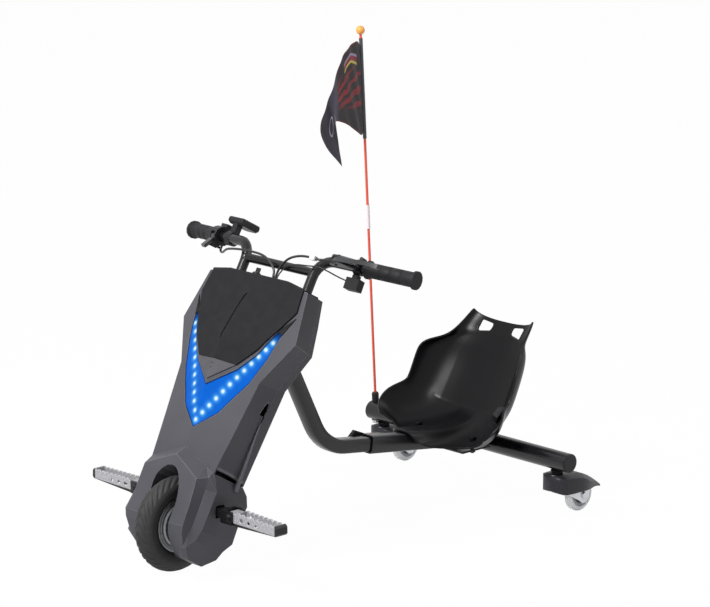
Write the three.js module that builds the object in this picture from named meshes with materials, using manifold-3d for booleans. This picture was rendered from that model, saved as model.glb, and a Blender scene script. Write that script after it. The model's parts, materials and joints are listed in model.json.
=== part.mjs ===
// A child's electric drift trike: one steered, motor-driven front wheel in a moulded body with a V light,
// a bent frame tube that slides in a sleeve, a rear beam on two swivel casters, a bucket seat and a flag.
// Millimetres, +Z up. The front faces -Y and the rider's left is +X.

import * as THREE from 'three';
import { mergeVertices } from 'three/addons/utils/BufferGeometryUtils.js';
import Module from 'manifold-3d';

const wasm = await Module();
wasm.setup();

// Running gaps and cuts
const seat = 0.3;             // gap between two pieces that touch
const clearance = 0.5;        // gap round a piece in its hole
const overrun = 40;           // how far a cutter runs past what it cuts

// Front wheel and hub motor
const wheelRadius = 100;
const tyreWidth = 46;
const treadSteps = 8;
const rimRadius = 58;
const hubHalfWidth = 21;
const hubWall = 4;
const axleRadius = 6;
const axleHalfLength = 70;
const statorRadius = 50;
const statorHalfWidth = 13;
const nutRadius = 10.5;
const nutHeight = 7.5;

// Steering
const rake = THREE.MathUtils.degToRad(29);
const steerBack = 28;         // the steering axis lies this far behind the body's own line, square to the axis
const axleShift = 18;         // the axle lies this far behind the body's own line, level
const axleBack = axleShift * Math.cos(rake);
const axleUp = axleShift * Math.sin(rake);
const yokeThickness = 9;
const yokeDepth = 30;
const yokeHalfLength = 125;
const lowerYokeUp = 415;
const headTubeLength = 70;
const headTubeRadius = 21;
const steererRadius = 14;
const bearingHeight = 5;
const legThickness = 16;
const legDepth = 40;
const legInner = 46;
const dropoutReach = 16;

// Handlebar
const barRadius = 11;
const crossbarRadius = 9.5;
const riserHalfSpan = 105;
const barCornerUp = 613;
const barCornerBack = 28;
const barEndHalfSpan = 341;
const barEndUp = 623;
const barEndBack = 74;
const barBend = 42;
const crossbarUp = 582;
const gripLengths = { left: 118, right: 97 };
const gripRadius = 16;
const gripFlange = 19.5;

// Upper body covers
const coverTop = 540;
const coverHalf = 174;
const coverFront = 51;
const coverRear = 72;
const coverWall = 3;
const coverSeam = 38;         // where the front cover meets the rear cover, behind the axle
const hoodRise = 3.5;
const boardThickness = 1.6;
const ledRadius = 3;
const ledHeight = 1.4;
const ledsPerArm = 11;
const ribWidth = 3;
const ribRise = 2.5;

// Wheel guards
const slotHalf = 41.5;
const slotTop = 116;

// Foot pegs
const pegUp = 60;
const pegBack = 24;
const pegPivot = 148;
const pegEnd = 291;
const pegHeight = 29;
const pegWidth = 28;
const pegPlate = 3;
const pegPinRadius = 4;
const toothCount = 9;
const toothHeight = 4;
const earThickness = 5;

// Frame
const tubeSize = 32;
const tubeCorner = 6;
const sleeveSize = 40;
const sleeveWall = 3.2;
const frameSlope = THREE.MathUtils.degToRad(7.3);
const downTubeLean = THREE.MathUtils.degToRad(26.2);
const downTubeMeet = 488;     // height on the steering axis where the down tube meets the head tube
const frameBend = 108;
const sleeveFront = 552;
const sleeveUp = 166.5;
const tubeInsertion = 190;
const beamBack = 861;
const beamHeight = 126;
const beamHalfLength = 306;
const beamRadius = 21;
const beamWall = 2.5;
const capThickness = 4;

// Seat
const seatUnit = 100;          // the seat's tables are in these
const seatShell = 4;
const seatBoltSpan = 84;
const seatBoltBack = 790;

// Casters
const casterHalfTrack = 270;
const casterTrail = 69;
const casterRadius = 37.5;
const casterWidth = 24;
const casterNeck = 13.5;

// Flag
const flagHalfSpan = 297;
const poleRadius = 3;
const poleLength = 852;
const poleSplit = 430;
const ballRadius = 10;
const flagHoist = 226;
const poleLean = THREE.MathUtils.degToRad(3.2);

const overallFront = wheelRadius - axleShift;
const overallRear = beamBack + 138;
const bodyMiddle = (overallRear - overallFront) / 2;

const paint = (color, roughness, metalness = 0) =>
  new THREE.MeshStandardMaterial({ color, roughness, metalness });
const blackPlastic = paint(0x1b1c1e, 0.45);
const hoodPlastic = paint(0x2a2b2d, 0.6);
const blackPaint = paint(0x121315, 0.25, 0.3);
const rubber = paint(0x161616, 0.85);
const steel = paint(0xb8bcc0, 0.35, 0.9);
const castGrey = paint(0x6d7075, 0.4, 0.8);
const clearWhite = paint(0xe9edf2, 0.25);
const blueLight = paint(0x0c62f0, 0.3);
const orange = paint(0xf0752a, 0.5);
const redPole = paint(0xd8402c, 0.45);
const cloth = paint(0x24161a, 0.9);
const green = paint(0x1e5a3a, 0.6);
const seatPlastic = paint(0x151517, 0.3);

const V = (x, y, z) => new THREE.Vector3(x, y, z);
const sides = [['left', 1], ['right', -1]];

// The object, the part that turns with the handlebar, and the groups inside them
const object = new THREE.Group();
object.position.y = -bodyMiddle;
const steered = new THREE.Group();
steered.position.z = wheelRadius;
steered.rotation.x = -rake;
object.add(steered);

// A closed mesh becomes a solid once its corners are shared
function solidOf(geometry) {
  const bare = geometry.clone();
  for (const name of Object.keys(bare.attributes)) {
    if (name !== 'position') bare.deleteAttribute(name);
  }
  const merged = mergeVertices(bare);
  return new wasm.Manifold(new wasm.Mesh({
    numProp: 3,
    vertProperties: new Float32Array(merged.attributes.position.array),
    triVerts: new Uint32Array(merged.index.array),
  }));
}

function geometryOf(solid) {
  const mesh = solid.getMesh();
  const geometry = new THREE.BufferGeometry();
  geometry.setAttribute('position', new THREE.BufferAttribute(mesh.vertProperties, 3));
  geometry.setIndex(new THREE.BufferAttribute(mesh.triVerts, 1));
  return geometry;
}

function place(group, name, shape, material) {
  const geometry = shape.isBufferGeometry ? shape : geometryOf(shape);
  geometry.computeVertexNormals();
  const mesh = new THREE.Mesh(geometry, material);
  mesh.name = name;
  group.add(mesh);
  return mesh;
}

const joined = (...solids) => solids.reduce((whole, next) => whole.add(next));
const without = (solid, ...cuts) => cuts.reduce((rest, cut) => rest.subtract(cut), solid);

const boxAt = (x, y, z, centre = V(0, 0, 0)) =>
  solidOf(new THREE.BoxGeometry(x, y, z).translate(centre.x, centre.y, centre.z));

// A round bar along one axis
function barAt(axis, radius, length, centre = V(0, 0, 0), faces = 18) {
  const geometry = new THREE.CylinderGeometry(radius, radius, length, faces);
  if (axis === 'x') geometry.rotateZ(Math.PI / 2);
  if (axis === 'z') geometry.rotateX(Math.PI / 2);
  return solidOf(geometry.translate(centre.x, centre.y, centre.z));
}

// A turned piece about one axis, from its profile of [radius, along] pairs
function turned(axis, profile, faces = 32, centre = V(0, 0, 0)) {
  const geometry = new THREE.LatheGeometry(profile.map(([r, a]) => new THREE.Vector2(r, a)), faces);
  if (axis === 'x') geometry.rotateZ(-Math.PI / 2);
  if (axis === 'z') geometry.rotateX(Math.PI / 2);
  return outward(geometry.translate(centre.x, centre.y, centre.z));
}

// Faces that point inward are turned round
function outward(geometry) {
  const merged = geometry.index ? geometry : mergeVertices(geometry);
  const points = merged.attributes.position;
  const index = merged.index.array;
  let volume = 0;
  const [a, b, c] = [V(), V(), V()];
  for (let i = 0; i < index.length; i += 3) {
    a.fromBufferAttribute(points, index[i]);
    b.fromBufferAttribute(points, index[i + 1]);
    c.fromBufferAttribute(points, index[i + 2]);
    volume += a.dot(b.cross(c));
  }
  if (volume < 0) {
    for (let i = 0; i < index.length; i += 3) {
      [index[i], index[i + 1]] = [index[i + 1], index[i]];
    }
  }
  return solidOf(merged);
}

// A skin over rings of points, closed by a cap at each end that runs straight across from side to side
function loft(rings) {
  const count = rings[0].length;
  const positions = rings.flat().flatMap((p) => [p.x, p.y, p.z]);
  const index = [];
  for (let i = 0; i + 1 < rings.length; i++) {
    for (let j = 0; j < count; j++) {
      const next = (j + 1) % count;
      const [a, b] = [i * count + j, i * count + next];
      index.push(a, b, b + count, a, b + count, a + count);
    }
  }
  const odd = count % 2;
  const across = (i) => count - 1 - i + odd;
  const cap = odd ? [[0, 1, count - 1]] : [];
  for (let i = odd; i + 1 < across(i + 1); i++) {
    cap.push([i, i + 1, across(i + 1)], [i, across(i + 1), across(i)]);
  }
  const last = (rings.length - 1) * count;
  for (const [a, b, c] of cap) index.push(c, b, a, last + a, last + b, last + c);
  const geometry = new THREE.BufferGeometry();
  geometry.setAttribute('position', new THREE.Float32BufferAttribute(positions, 3));
  geometry.setIndex(index);
  return outward(geometry);
}

// A flat outline drawn in X and up, pushed back along Y between two depths
function frontPrism(outline, near, far) {
  const geometry = new THREE.ExtrudeGeometry(new THREE.Shape(outline.map(([x, up]) => new THREE.Vector2(x, up))), {
    depth: far - near, bevelEnabled: false,
  });
  return outward(geometry.rotateX(Math.PI / 2).translate(0, far, 0));
}

// A flat outline drawn in Y and up, pushed along X from a centre
function sidePrism(outline, thickness, centreX) {
  const shape = new THREE.Shape(outline.map(([y, up]) => new THREE.Vector2(y, up)));
  const geometry = new THREE.ExtrudeGeometry(shape, { depth: thickness, bevelEnabled: false });
  geometry.rotateX(Math.PI / 2).rotateZ(Math.PI / 2);
  return outward(geometry.translate(centreX - thickness / 2, 0, 0));
}

// A path of straight runs joined by round bends, with its stations only where the bends need them
class BentPath extends THREE.Curve {
  constructor(corners, radius, bendSteps = 7) {
    super();
    this.stations = [{ at: corners[0], along: corners[1].clone().sub(corners[0]).normalize() }];
    for (let i = 1; i + 1 < corners.length; i++) {
      const before = corners[i].clone().sub(corners[i - 1]).normalize();
      const after = corners[i + 1].clone().sub(corners[i]).normalize();
      const turn = before.angleTo(after);
      const axis = before.clone().cross(after).normalize();
      const start = corners[i].clone().addScaledVector(before, -radius * Math.tan(turn / 2));
      const centre = start.clone().addScaledVector(axis.clone().cross(before), radius);
      for (let k = 0; k <= bendSteps; k++) {
        const angle = (turn * k) / bendSteps;
        this.stations.push({
          at: start.clone().sub(centre).applyAxisAngle(axis, angle).add(centre),
          along: before.clone().applyAxisAngle(axis, angle),
        });
      }
    }
    const last = corners.length - 1;
    this.stations.push({ at: corners[last], along: corners[last].clone().sub(corners[last - 1]).normalize() });
  }

  get steps() {
    return this.stations.length - 1;
  }

  getPointAt(u) {
    return this.stations[Math.round(u * this.steps)].at.clone();
  }

  getTangentAt(u) {
    return this.stations[Math.round(u * this.steps)].along.clone();
  }

  getSpacedPoints(steps) {
    return Array.from({ length: steps + 1 }, (_, k) => this.getPointAt(k / steps));
  }
}

const roundSection = (radius, faces) => new THREE.Shape(
  Array.from({ length: faces }, (_, k) => {
    const angle = (2 * Math.PI * k) / faces;
    return new THREE.Vector2(radius * Math.cos(angle), radius * Math.sin(angle));
  }));

// A square section with round corners
function squareSection(size, corner, cornerSteps = 2) {
  const points = [];
  const reach = size / 2 - corner;
  for (const [sx, sy, turn] of [[1, 1, 0], [-1, 1, 1], [-1, -1, 2], [1, -1, 3]]) {
    for (let k = 0; k <= cornerSteps; k++) {
      const angle = (Math.PI / 2) * (turn + k / cornerSteps);
      points.push(new THREE.Vector2(sx * reach + corner * Math.cos(angle), sy * reach + corner * Math.sin(angle)));
    }
  }
  return new THREE.Shape(points);
}

const along = (path, section, steps = path.steps) =>
  outward(new THREE.ExtrudeGeometry(section, { steps, bevelEnabled: false, extrudePath: path }));

// A cable through points chosen by hand
function cable(points, radius, steps) {
  const path = new THREE.CatmullRomCurve3(points.map((p) => V(...p)), false, 'centripetal');
  return along(path, roundSection(radius, 8), steps);
}

// Mirror a half outline of [x, up] points, listed from the middle outward, into a whole one
const mirrored = (half) => [...half, ...half.filter(([x]) => x > 0).reverse().map(([x, up]) => [-x, up])];

// UPPER BODY

// Shares of coverTop, coverHalf, coverFront and coverRear: how high the front middle, the front edge and the rear
// edge lie, how wide the front and rear edges are, and how far the middle, front edge and rear edge stand out
const coverShares = [
  [0.302, 0.233, 0.230, 0.552, 0.517, 0.63, 0.49, 1.00],
  [0.380, 0.352, 0.352, 0.600, 0.570, 0.70, 0.45, 0.94],
  [0.556, 0.606, 0.620, 0.701, 0.690, 0.90, 0.40, 0.80],
  [0.731, 0.781, 0.770, 1.000, 0.931, 1.00, 0.26, 0.74],
  [0.860, 0.880, 0.880, 0.935, 0.870, 0.72, 0.24, 0.70],
  [0.994, 0.984, 0.984, 0.868, 0.805, 0.28, 0.22, 0.64],
];
const earAcrossShare = 0.58;
const earRiseShare = 0.014;

function coverRing(row, inset, extra) {
  const [upMiddle, upEdge, upRear, half, rearHalf, front, edge, rear] = row;
  const middle = V(0, -coverFront * front + inset, coverTop * upMiddle + extra);
  const corner = V(coverHalf * half - inset, -coverFront * edge + inset, coverTop * upEdge + extra);
  const back = V(coverHalf * rearHalf - inset, coverRear * rear - inset, coverTop * upRear + extra);
  const ear = middle.clone().lerp(corner, earAcrossShare);
  if (row === coverShares.at(-1)) ear.z += coverTop * earRiseShare;
  const half3 = [ear, corner, back];
  return [middle, ...half3, ...half3.map((p) => V(-p.x, p.y, p.z)).reverse()];
}

// The cover's whole form, drawn in by an inset; a hollow also runs out through the bottom
function coverForm(inset, openBottom = false) {
  const last = coverShares.length - 1;
  return loft(coverShares.map((row, k) => {
    let extra = 0;
    if (k === last) extra = -inset;
    if (k === 0 && openBottom) extra = -overrun;
    return coverRing(row, inset, extra);
  }));
}

// The V light's outline, as shares of coverHalf and coverTop, from the bottom tip up the outside and down the inside
const lightOuterShares = [[0, 0.374], [0.30, 0.455], [0.575, 0.594], [0.70, 0.700], [0.776, 0.800]];
const lightInnerShares = [[0.707, 0.813], [0.54, 0.705], [0.345, 0.630], [0, 0.546]];

const coverPoint = ([x, up]) => [x * coverHalf, up * coverTop];

// An outline drawn in by a distance, corner by corner
function drawnIn(outline, distance) {
  return outline.map(([x, y], k) => {
    const [before, after] = [outline.at(k - 1), outline[(k + 1) % outline.length]];
    const one = new THREE.Vector2(x - before[0], y - before[1]).normalize();
    const two = new THREE.Vector2(after[0] - x, after[1] - y).normalize();
    const normal = new THREE.Vector2(-one.y - two.y, one.x + two.x);
    const scale = (2 * distance) / Math.max(0.3, normal.lengthSq());
    return [x + normal.x * scale, y + normal.y * scale];
  });
}

function lightOutline(shrink) {
  const right = [...lightOuterShares, ...lightInnerShares].map(coverPoint);
  return drawnIn([...right, ...right.slice(1, -1).reverse().map(([x, up]) => [-x, up])], shrink);
}

const lightPrism = (shrink) => frontPrism(lightOutline(shrink), -2 * coverFront, 0);

// The raised panel between the arms of the light
const hoodShares = [[0, 1.03], [0.50, 1.04], [0.80, 1.0], [0.845, 0.90], [0.735, 0.832], [0.54, 0.722], [0.345, 0.650],
  [0, 0.566]];
const hoodTipShare = 0.645;
const grooveShares = [0.022, 0.72, 0.93];

function hoodForm() {
  return without(coverForm(-hoodRise), coverForm(-seat), coverForm(0))
    .intersect(frontPrism(mirrored(hoodShares.map(coverPoint)), -2 * coverFront, coverSeam - 2 * hoodRise));
}

function makeHood() {
  const split = boxAt(2 * coverHalf, 4 * coverFront, coverTop, V(0, 0, coverTop * (hoodTipShare - 0.5)));
  const [grooveHalf, grooveLow, grooveHigh] = grooveShares;
  const groove = frontPrism([
    [0, coverTop * grooveLow], [coverHalf * grooveHalf, coverTop * (grooveLow + grooveHalf)],
    [coverHalf * grooveHalf, coverTop * (grooveHigh - grooveHalf)], [0, coverTop * grooveHigh],
    [-coverHalf * grooveHalf, coverTop * (grooveHigh - grooveHalf)],
    [-coverHalf * grooveHalf, coverTop * (grooveLow + grooveHalf)],
  ], -2 * coverFront, 0);
  const keptFloor = coverForm(-hoodRise / 3);
  const hood = without(hoodForm(), split, groove.subtract(keptFloor), ...topHoles(keyPlace.radius + clearance));
  place(steered, 'hood_panel', hood, hoodPlastic);
  const tipGap = boxAt(2 * coverHalf, 4 * coverFront, coverTop, V(0, 0, coverTop * (hoodTipShare + 0.5) - seat));
  const screwHoles = [0, 1].map((k) => barAt('y', ledRadius / 2, 3 * coverFront,
    V(0, -coverFront, coverTop * (hoodTipShare - 0.018 * (k + 1))), 10));
  const tip = without(hoodForm().intersect(coverForm(-hoodRise * 0.7)), tipGap, ...screwHoles);
  place(steered, 'hood_tip', tip, paint(0x4a4c50, 0.5));
}

const riserHoles = () => sides.map(([, side]) =>
  barAt('z', barRadius + clearance, coverTop, V(side * riserHalfSpan, steerBack, coverTop)));

const cableHole = { x: 14.5, back: 13, radius: 9.5 };
const keyPlace = { x: -26, back: 1, radius: 9.5, barrel: 8 };

function topHoles(keyRadius = keyPlace.barrel + clearance) {
  return [
    ...riserHoles(),
    barAt('z', cableHole.radius, coverTop, V(cableHole.x, cableHole.back, coverTop)),
    barAt('z', keyRadius, coverTop, V(keyPlace.x, keyPlace.back, coverTop)),
  ];
}

// The rear window that lets the frame tube swing as the body steers
const windowHalf = 64;
const windowLow = 404;
const windowHigh = 522;

function makeCovers() {
  const shell = coverForm(0).subtract(coverForm(coverWall, true));
  const split = (from, to) => boxAt(3 * coverHalf, to - from, 3 * coverTop, V(0, (from + to) / 2, coverTop));
  const ribs = sides.map(([, side]) => sideRibs(side));
  const front = without(joined(shell, ...ribs).intersect(split(-3 * coverFront, coverSeam - seat / 2)),
    lightPrism(0), ...topHoles());
  place(steered, 'front_cover', front, blackPlastic);
  const window = frontPrism(
    [[windowHalf, windowLow], [windowHalf, windowHigh], [-windowHalf, windowHigh], [-windowHalf, windowLow]],
    coverSeam + coverWall, 3 * coverRear);
  const rear = without(shell.intersect(split(coverSeam + seat / 2, 3 * coverRear)), window, ...topHoles());
  place(steered, 'rear_cover', rear, blackPlastic);
}

// Two long ribs on each flank, one each side of the seam
function sideRibs(side) {
  const rib = loft([0, 1].map((end) => {
    const row = coverShares[end === 0 ? 0 : 2];
    const x = coverHalf * (row[3] * 0.3 + row[4] * 0.7);
    const up = coverTop * (end === 0 ? 0.27 : 0.56);
    const back = coverSeam - 2.4 * ribWidth;
    return [
      V(side * (x - coverWall), back, up), V(side * (x + ribRise), back, up),
      V(side * (x + ribRise), back + ribWidth, up), V(side * (x - coverWall), back + ribWidth, up),
    ];
  }));
  return rib.subtract(coverForm(coverWall, true));
}

// The light: a lens let into the cover, and the board of lamps behind it
function makeLight() {
  place(steered, 'v_lens', coverForm(coverWall / 3).subtract(coverForm(coverWall)).intersect(lightPrism(seat)), blueLight);
  const boardFront = coverWall + seat + ledHeight;
  const board = coverForm(boardFront).subtract(coverForm(boardFront + boardThickness))
    .intersect(lightPrism(2 * seat));
  const lamps = ledPlaces().map(([x, up]) => barAt('y', ledRadius, 2 * coverFront, V(x, -coverFront, up), 6));
  const lampLayer = coverForm(coverWall + seat).subtract(coverForm(boardFront + boardThickness / 2));
  place(steered, 'light_board', board.add(joined(...lamps).intersect(lampLayer)), clearWhite);
}

// One lamp at the tip and the rest evenly up each arm, midway between the light's two edges
function ledPlaces() {
  const outer = new THREE.CatmullRomCurve3(lightOuterShares.slice(1).map(coverPoint).map(([x, up]) => V(x, up, 0)));
  const inner = new THREE.CatmullRomCurve3(lightInnerShares.map(coverPoint).reverse().map(([x, up]) => V(x, up, 0)));
  const places = [[0, coverTop * (lightOuterShares[0][1] + 0.035)]];
  for (let k = 0; k < ledsPerArm; k++) {
    const share = (k + 0.3) / ledsPerArm;
    const point = outer.getPointAt(share).lerp(inner.getPointAt(share), 0.34);
    places.push([point.x, point.y], [-point.x, point.y]);
  }
  return places;
}

// WHEEL GUARDS

// Rings of the fairing in wheel radii: middle, slot edge, ridge, groove foot, lobe edge and rear corner as [x, y, up]
const guardShares = [
  [[0, -0.51, 1.39], [0.42, -0.505, 1.21], [0.81, -0.50, 1.03], [0.93, -0.30, 1.14], [0.985, -0.18, 1.17],
    [0.95, 0.86, 1.10]],
  [[0, -0.50, 0.88], [0.42, -0.50, 0.88], [0.83, -0.48, 0.84], [0.89, -0.22, 0.88], [1.04, -0.05, 0.92],
    [0.98, 0.95, 0.90]],
  [[0, -0.42, 0.45], [0.42, -0.42, 0.45], [0.85, -0.45, 0.45], [0.88, -0.19, 0.45], [1.04, -0.05, 0.50],
    [0.98, 0.90, 0.60]],
  [[0, -0.41, 0.03], [0.42, -0.41, 0.03], [0.90, -0.47, 0.04], [0.91, -0.21, 0.08], [1.04, -0.06, 0.10],
    [0.96, 0.95, 0.09]],
  [[0, -0.34, -0.14], [0.42, -0.34, -0.14], [0.88, -0.40, -0.11], [0.90, -0.24, -0.12], [1.01, -0.09, -0.12],
    [0.92, 0.82, -0.12]],
  [[0, -0.17, -0.34], [0.42, -0.17, -0.34], [0.79, -0.24, -0.34], [0.86, -0.22, -0.34], [0.91, -0.19, -0.34],
    [0.88, 0.76, -0.33]],
  [[0, 0.10, -0.54], [0.42, 0.10, -0.54], [0.62, 0.05, -0.54], [0.72, 0.04, -0.54], [0.80, 0.08, -0.54],
    [0.80, 0.52, -0.56]],
];
// Where the fairing's first ring meets the cover's lowest edge, as shares of the way from its middle to its corner
const guardJointShares = [0, 0.4375, 0.75, 0.97, 1];

function guardForm() {
  const [middle, , corner, back] = coverRing(coverShares[0], 0, -2 * seat);
  const joint = [...guardJointShares.map((share) => middle.clone().lerp(corner, share)), back];
  const rings = guardShares.map((ring) => ring.map(([x, y, up]) =>
    V(x * wheelRadius, y * wheelRadius, up * wheelRadius)));
  return loft([joint, ...rings].map(([first, ...rest]) =>
    [first, ...rest, ...rest.map((p) => V(-p.x, p.y, p.z)).reverse()]));
}

// The slot that the wheel turns in, with a round top
function wheelSlot(half, top) {
  const roundSteps = 10;
  const topRise = top - rimRadius;
  const outline = [[-half, -2 * wheelRadius], [half, -2 * wheelRadius]];
  for (let k = 0; k <= roundSteps; k++) {
    const angle = (Math.PI * k) / roundSteps;
    outline.push([half * Math.cos(angle), rimRadius + topRise * Math.sin(angle)]);
  }
  return frontPrism(outline, -3 * wheelRadius, 3 * wheelRadius);
}

function makeFairing() {
  const legOuter = legInner + legThickness;
  const channelLow = -0.22 * wheelRadius;
  const channel = ([, side]) => boxAt(legThickness + 2 * clearance, legDepth + dropoutReach + steerBack,
    2 * wheelRadius, V(side * (legInner + legThickness / 2), steerBack / 2 + legDepth / 8, channelLow + wheelRadius));
  const nutPocket = ([, side]) => barAt('x', nutRadius + 3, axleHalfLength + clearance - legInner,
    V(side * (legInner + (axleHalfLength - legInner) / 2), axleBack, axleUp));
  const pegHole = ([, side]) => solidOf(new THREE.BoxGeometry(2 * coverHalf, pegBracket.depth, pegBracket.height)
    .rotateX(rake).translate(side * (legOuter - clearance + coverHalf), pegBack, pegUp));
  const bay = boxAt(2 * (wheelRadius * 0.84), coverRear, wheelRadius,
    V(0, coverRear / 2 - 0.17 * wheelRadius, slotTop + coverWall + wheelRadius / 2));
  const axleHole = barAt('x', axleRadius + 3 + clearance, 2 * legOuter, V(0, axleBack, axleUp));
  const fairing = without(guardForm(), wheelSlot(slotHalf, slotTop), bay, axleHole,
    ...sides.map(channel), ...sides.map(nutPocket), ...sides.map(pegHole));
  place(steered, 'wheel_fairing', fairing, blackPlastic);
}

// STEERING, FORK AND WHEEL

const steering = new THREE.Group();
steering.position.y = steerBack;
steered.add(steering);

const upperYokeUp = lowerYokeUp + yokeThickness + 2 * bearingHeight + headTubeLength + 2 * seat;

function yokeForm(up) {
  const plate = boxAt(2 * yokeHalfLength, yokeDepth, yokeThickness, V(0, steerBack, up + yokeThickness / 2));
  const holes = sides.map(([, side]) => barAt('z', barRadius + seat, coverTop, V(side * riserHalfSpan, steerBack, up)));
  return without(plate, ...holes);
}

function makeFork() {
  const legOutline = [
    [steerBack - legDepth / 2, lowerYokeUp + 1], [steerBack + legDepth / 2, lowerYokeUp + 1],
    [steerBack + legDepth / 2, 0.25 * wheelRadius], [axleBack + dropoutReach, axleUp - 0.2 * wheelRadius],
    [axleBack - dropoutReach, axleUp - 0.2 * wheelRadius], [axleBack - dropoutReach, axleUp + 0.2 * wheelRadius],
    [steerBack - legDepth / 2, 0.5 * wheelRadius],
  ];
  const legs = sides.map(([, side]) => sidePrism(legOutline, legThickness, side * (legInner + legThickness / 2)));
  const steererTop = upperYokeUp + yokeThickness;
  const steererTube = barAt('z', steererRadius, steererTop - lowerYokeUp,
    V(0, steerBack, (steererTop + lowerYokeUp) / 2));
  const axleHole = barAt('x', axleRadius + seat, 4 * legInner, V(0, axleBack, axleUp));
  place(steered, 'fork', without(joined(yokeForm(lowerYokeUp), ...legs, steererTube), axleHole), blackPaint);
  const steererHole = barAt('z', steererRadius + seat, coverTop, V(0, steerBack, coverTop));
  place(steered, 'upper_yoke', yokeForm(upperYokeUp).subtract(steererHole), blackPaint);
}

function makeWheel() {
  const axleAt = V(0, axleBack, axleUp);
  const tube = tyreWidth / 2;
  const tread = Array.from({ length: treadSteps + 1 }, (_, k) => {
    const angle = THREE.MathUtils.degToRad(-110 + (220 * k) / treadSteps);
    return [wheelRadius - tube + tube * Math.cos(angle), tube * Math.sin(angle)];
  });
  const bead = tube * 0.6;
  const tyre = [[rimRadius, -bead], ...tread, [rimRadius, bead], [rimRadius, -bead]];
  place(steered, 'front_tyre', turned('x', tyre, 36, axleAt), rubber);
  const bore = axleRadius + 2;
  const outer = rimRadius - seat;
  const hollow = statorRadius + 2;
  const hub = [
    [bore, -hubHalfWidth], [outer - 14, -hubHalfWidth], [outer - 10, -hubHalfWidth + 5], [outer, -hubHalfWidth + 5],
    [outer, hubHalfWidth - 5], [outer - 10, hubHalfWidth - 5], [outer - 14, hubHalfWidth], [bore, hubHalfWidth],
    [bore, hubHalfWidth - hubWall], [hollow, hubHalfWidth - hubWall], [hollow, -hubHalfWidth + hubWall],
    [bore, -hubHalfWidth + hubWall], [bore, -hubHalfWidth],
  ];
  place(steered, 'motor_hub', turned('x', hub, 24, axleAt), castGrey);
  const nutAt = legInner + legThickness + seat;
  const axle = [
    [0, -axleHalfLength], [axleRadius, -axleHalfLength], [axleRadius, -statorHalfWidth],
    [statorRadius, -statorHalfWidth], [statorRadius, statorHalfWidth], [axleRadius, statorHalfWidth],
    [axleRadius, axleHalfLength], [0, axleHalfLength],
  ];
  const collar = (legInner - hubHalfWidth) / 2 - seat;
  const parts = sides.flatMap(([, side]) => [
    barAt('x', nutRadius, nutHeight, V(side * (nutAt + nutHeight / 2), axleBack, axleUp), 6),
    barAt('x', axleRadius + 3, 2 * collar, V(side * (hubHalfWidth + seat + collar), axleBack, axleUp), 16),
  ]);
  place(steered, 'motor_axle', joined(turned('x', axle, 16, axleAt), ...parts), steel);
}

// HANDLEBAR

// One bent tube a side, and the crossbar between them
function makeHandlebar() {
  const tubes = sides.map(([, side]) => along(new BentPath([
    V(side * riserHalfSpan, steerBack, lowerYokeUp - yokeThickness),
    V(side * riserHalfSpan, barCornerBack, barCornerUp),
    V(side * barEndHalfSpan, barEndBack, barEndUp),
  ], barBend), roundSection(barRadius, 12)));
  const cross = barAt('x', crossbarRadius, 2 * riserHalfSpan, V(0, steerBack, crossbarUp), 12);
  place(steered, 'handlebar', joined(...tubes, cross), blackPaint);
}

// A frame on the end of each bar: X to the rider's left along the bar, Y back, Z up the steering axis
function barFrame(side) {
  const frame = new THREE.Group();
  const corner = V(side * riserHalfSpan, barCornerBack, barCornerUp);
  const end = V(side * barEndHalfSpan, barEndBack, barEndUp);
  const x = end.clone().sub(corner).multiplyScalar(side).normalize();
  const y = V(0, 0, 1).cross(x).normalize();
  frame.position.copy(end);
  frame.quaternion.setFromRotationMatrix(new THREE.Matrix4().makeBasis(x, y, x.clone().cross(y)));
  steered.add(frame);
  return frame;
}

const barFrames = { left: barFrame(1), right: barFrame(-1) };

function makeGrip([name, side]) {
  const bore = barRadius + seat;
  const length = gripLengths[name];
  const ribs = 4;
  const profile = [[0, 3], [gripFlange, 3], [gripFlange, -2.5], [gripRadius, -5]];
  for (let k = 1; k < ribs; k++) {
    const from = -5 - (k * (length - 14)) / ribs;
    profile.push([gripRadius, from + 2], [gripRadius - 1.5, from], [gripRadius, from - 2]);
  }
  profile.push([gripRadius, -length + 9], [gripFlange, -length + 5], [gripFlange, -length],
    [bore, -length], [bore, seat], [0, seat]);
  const grip = turned('x', profile.map(([r, a]) => [r, side * a]), 14);
  place(barFrames[name], `grip_${name}`, grip, rubber);
}

const throttle = { from: 98, width: 24, radius: 21, reach: 33, paddleWidth: 13 };

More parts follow.
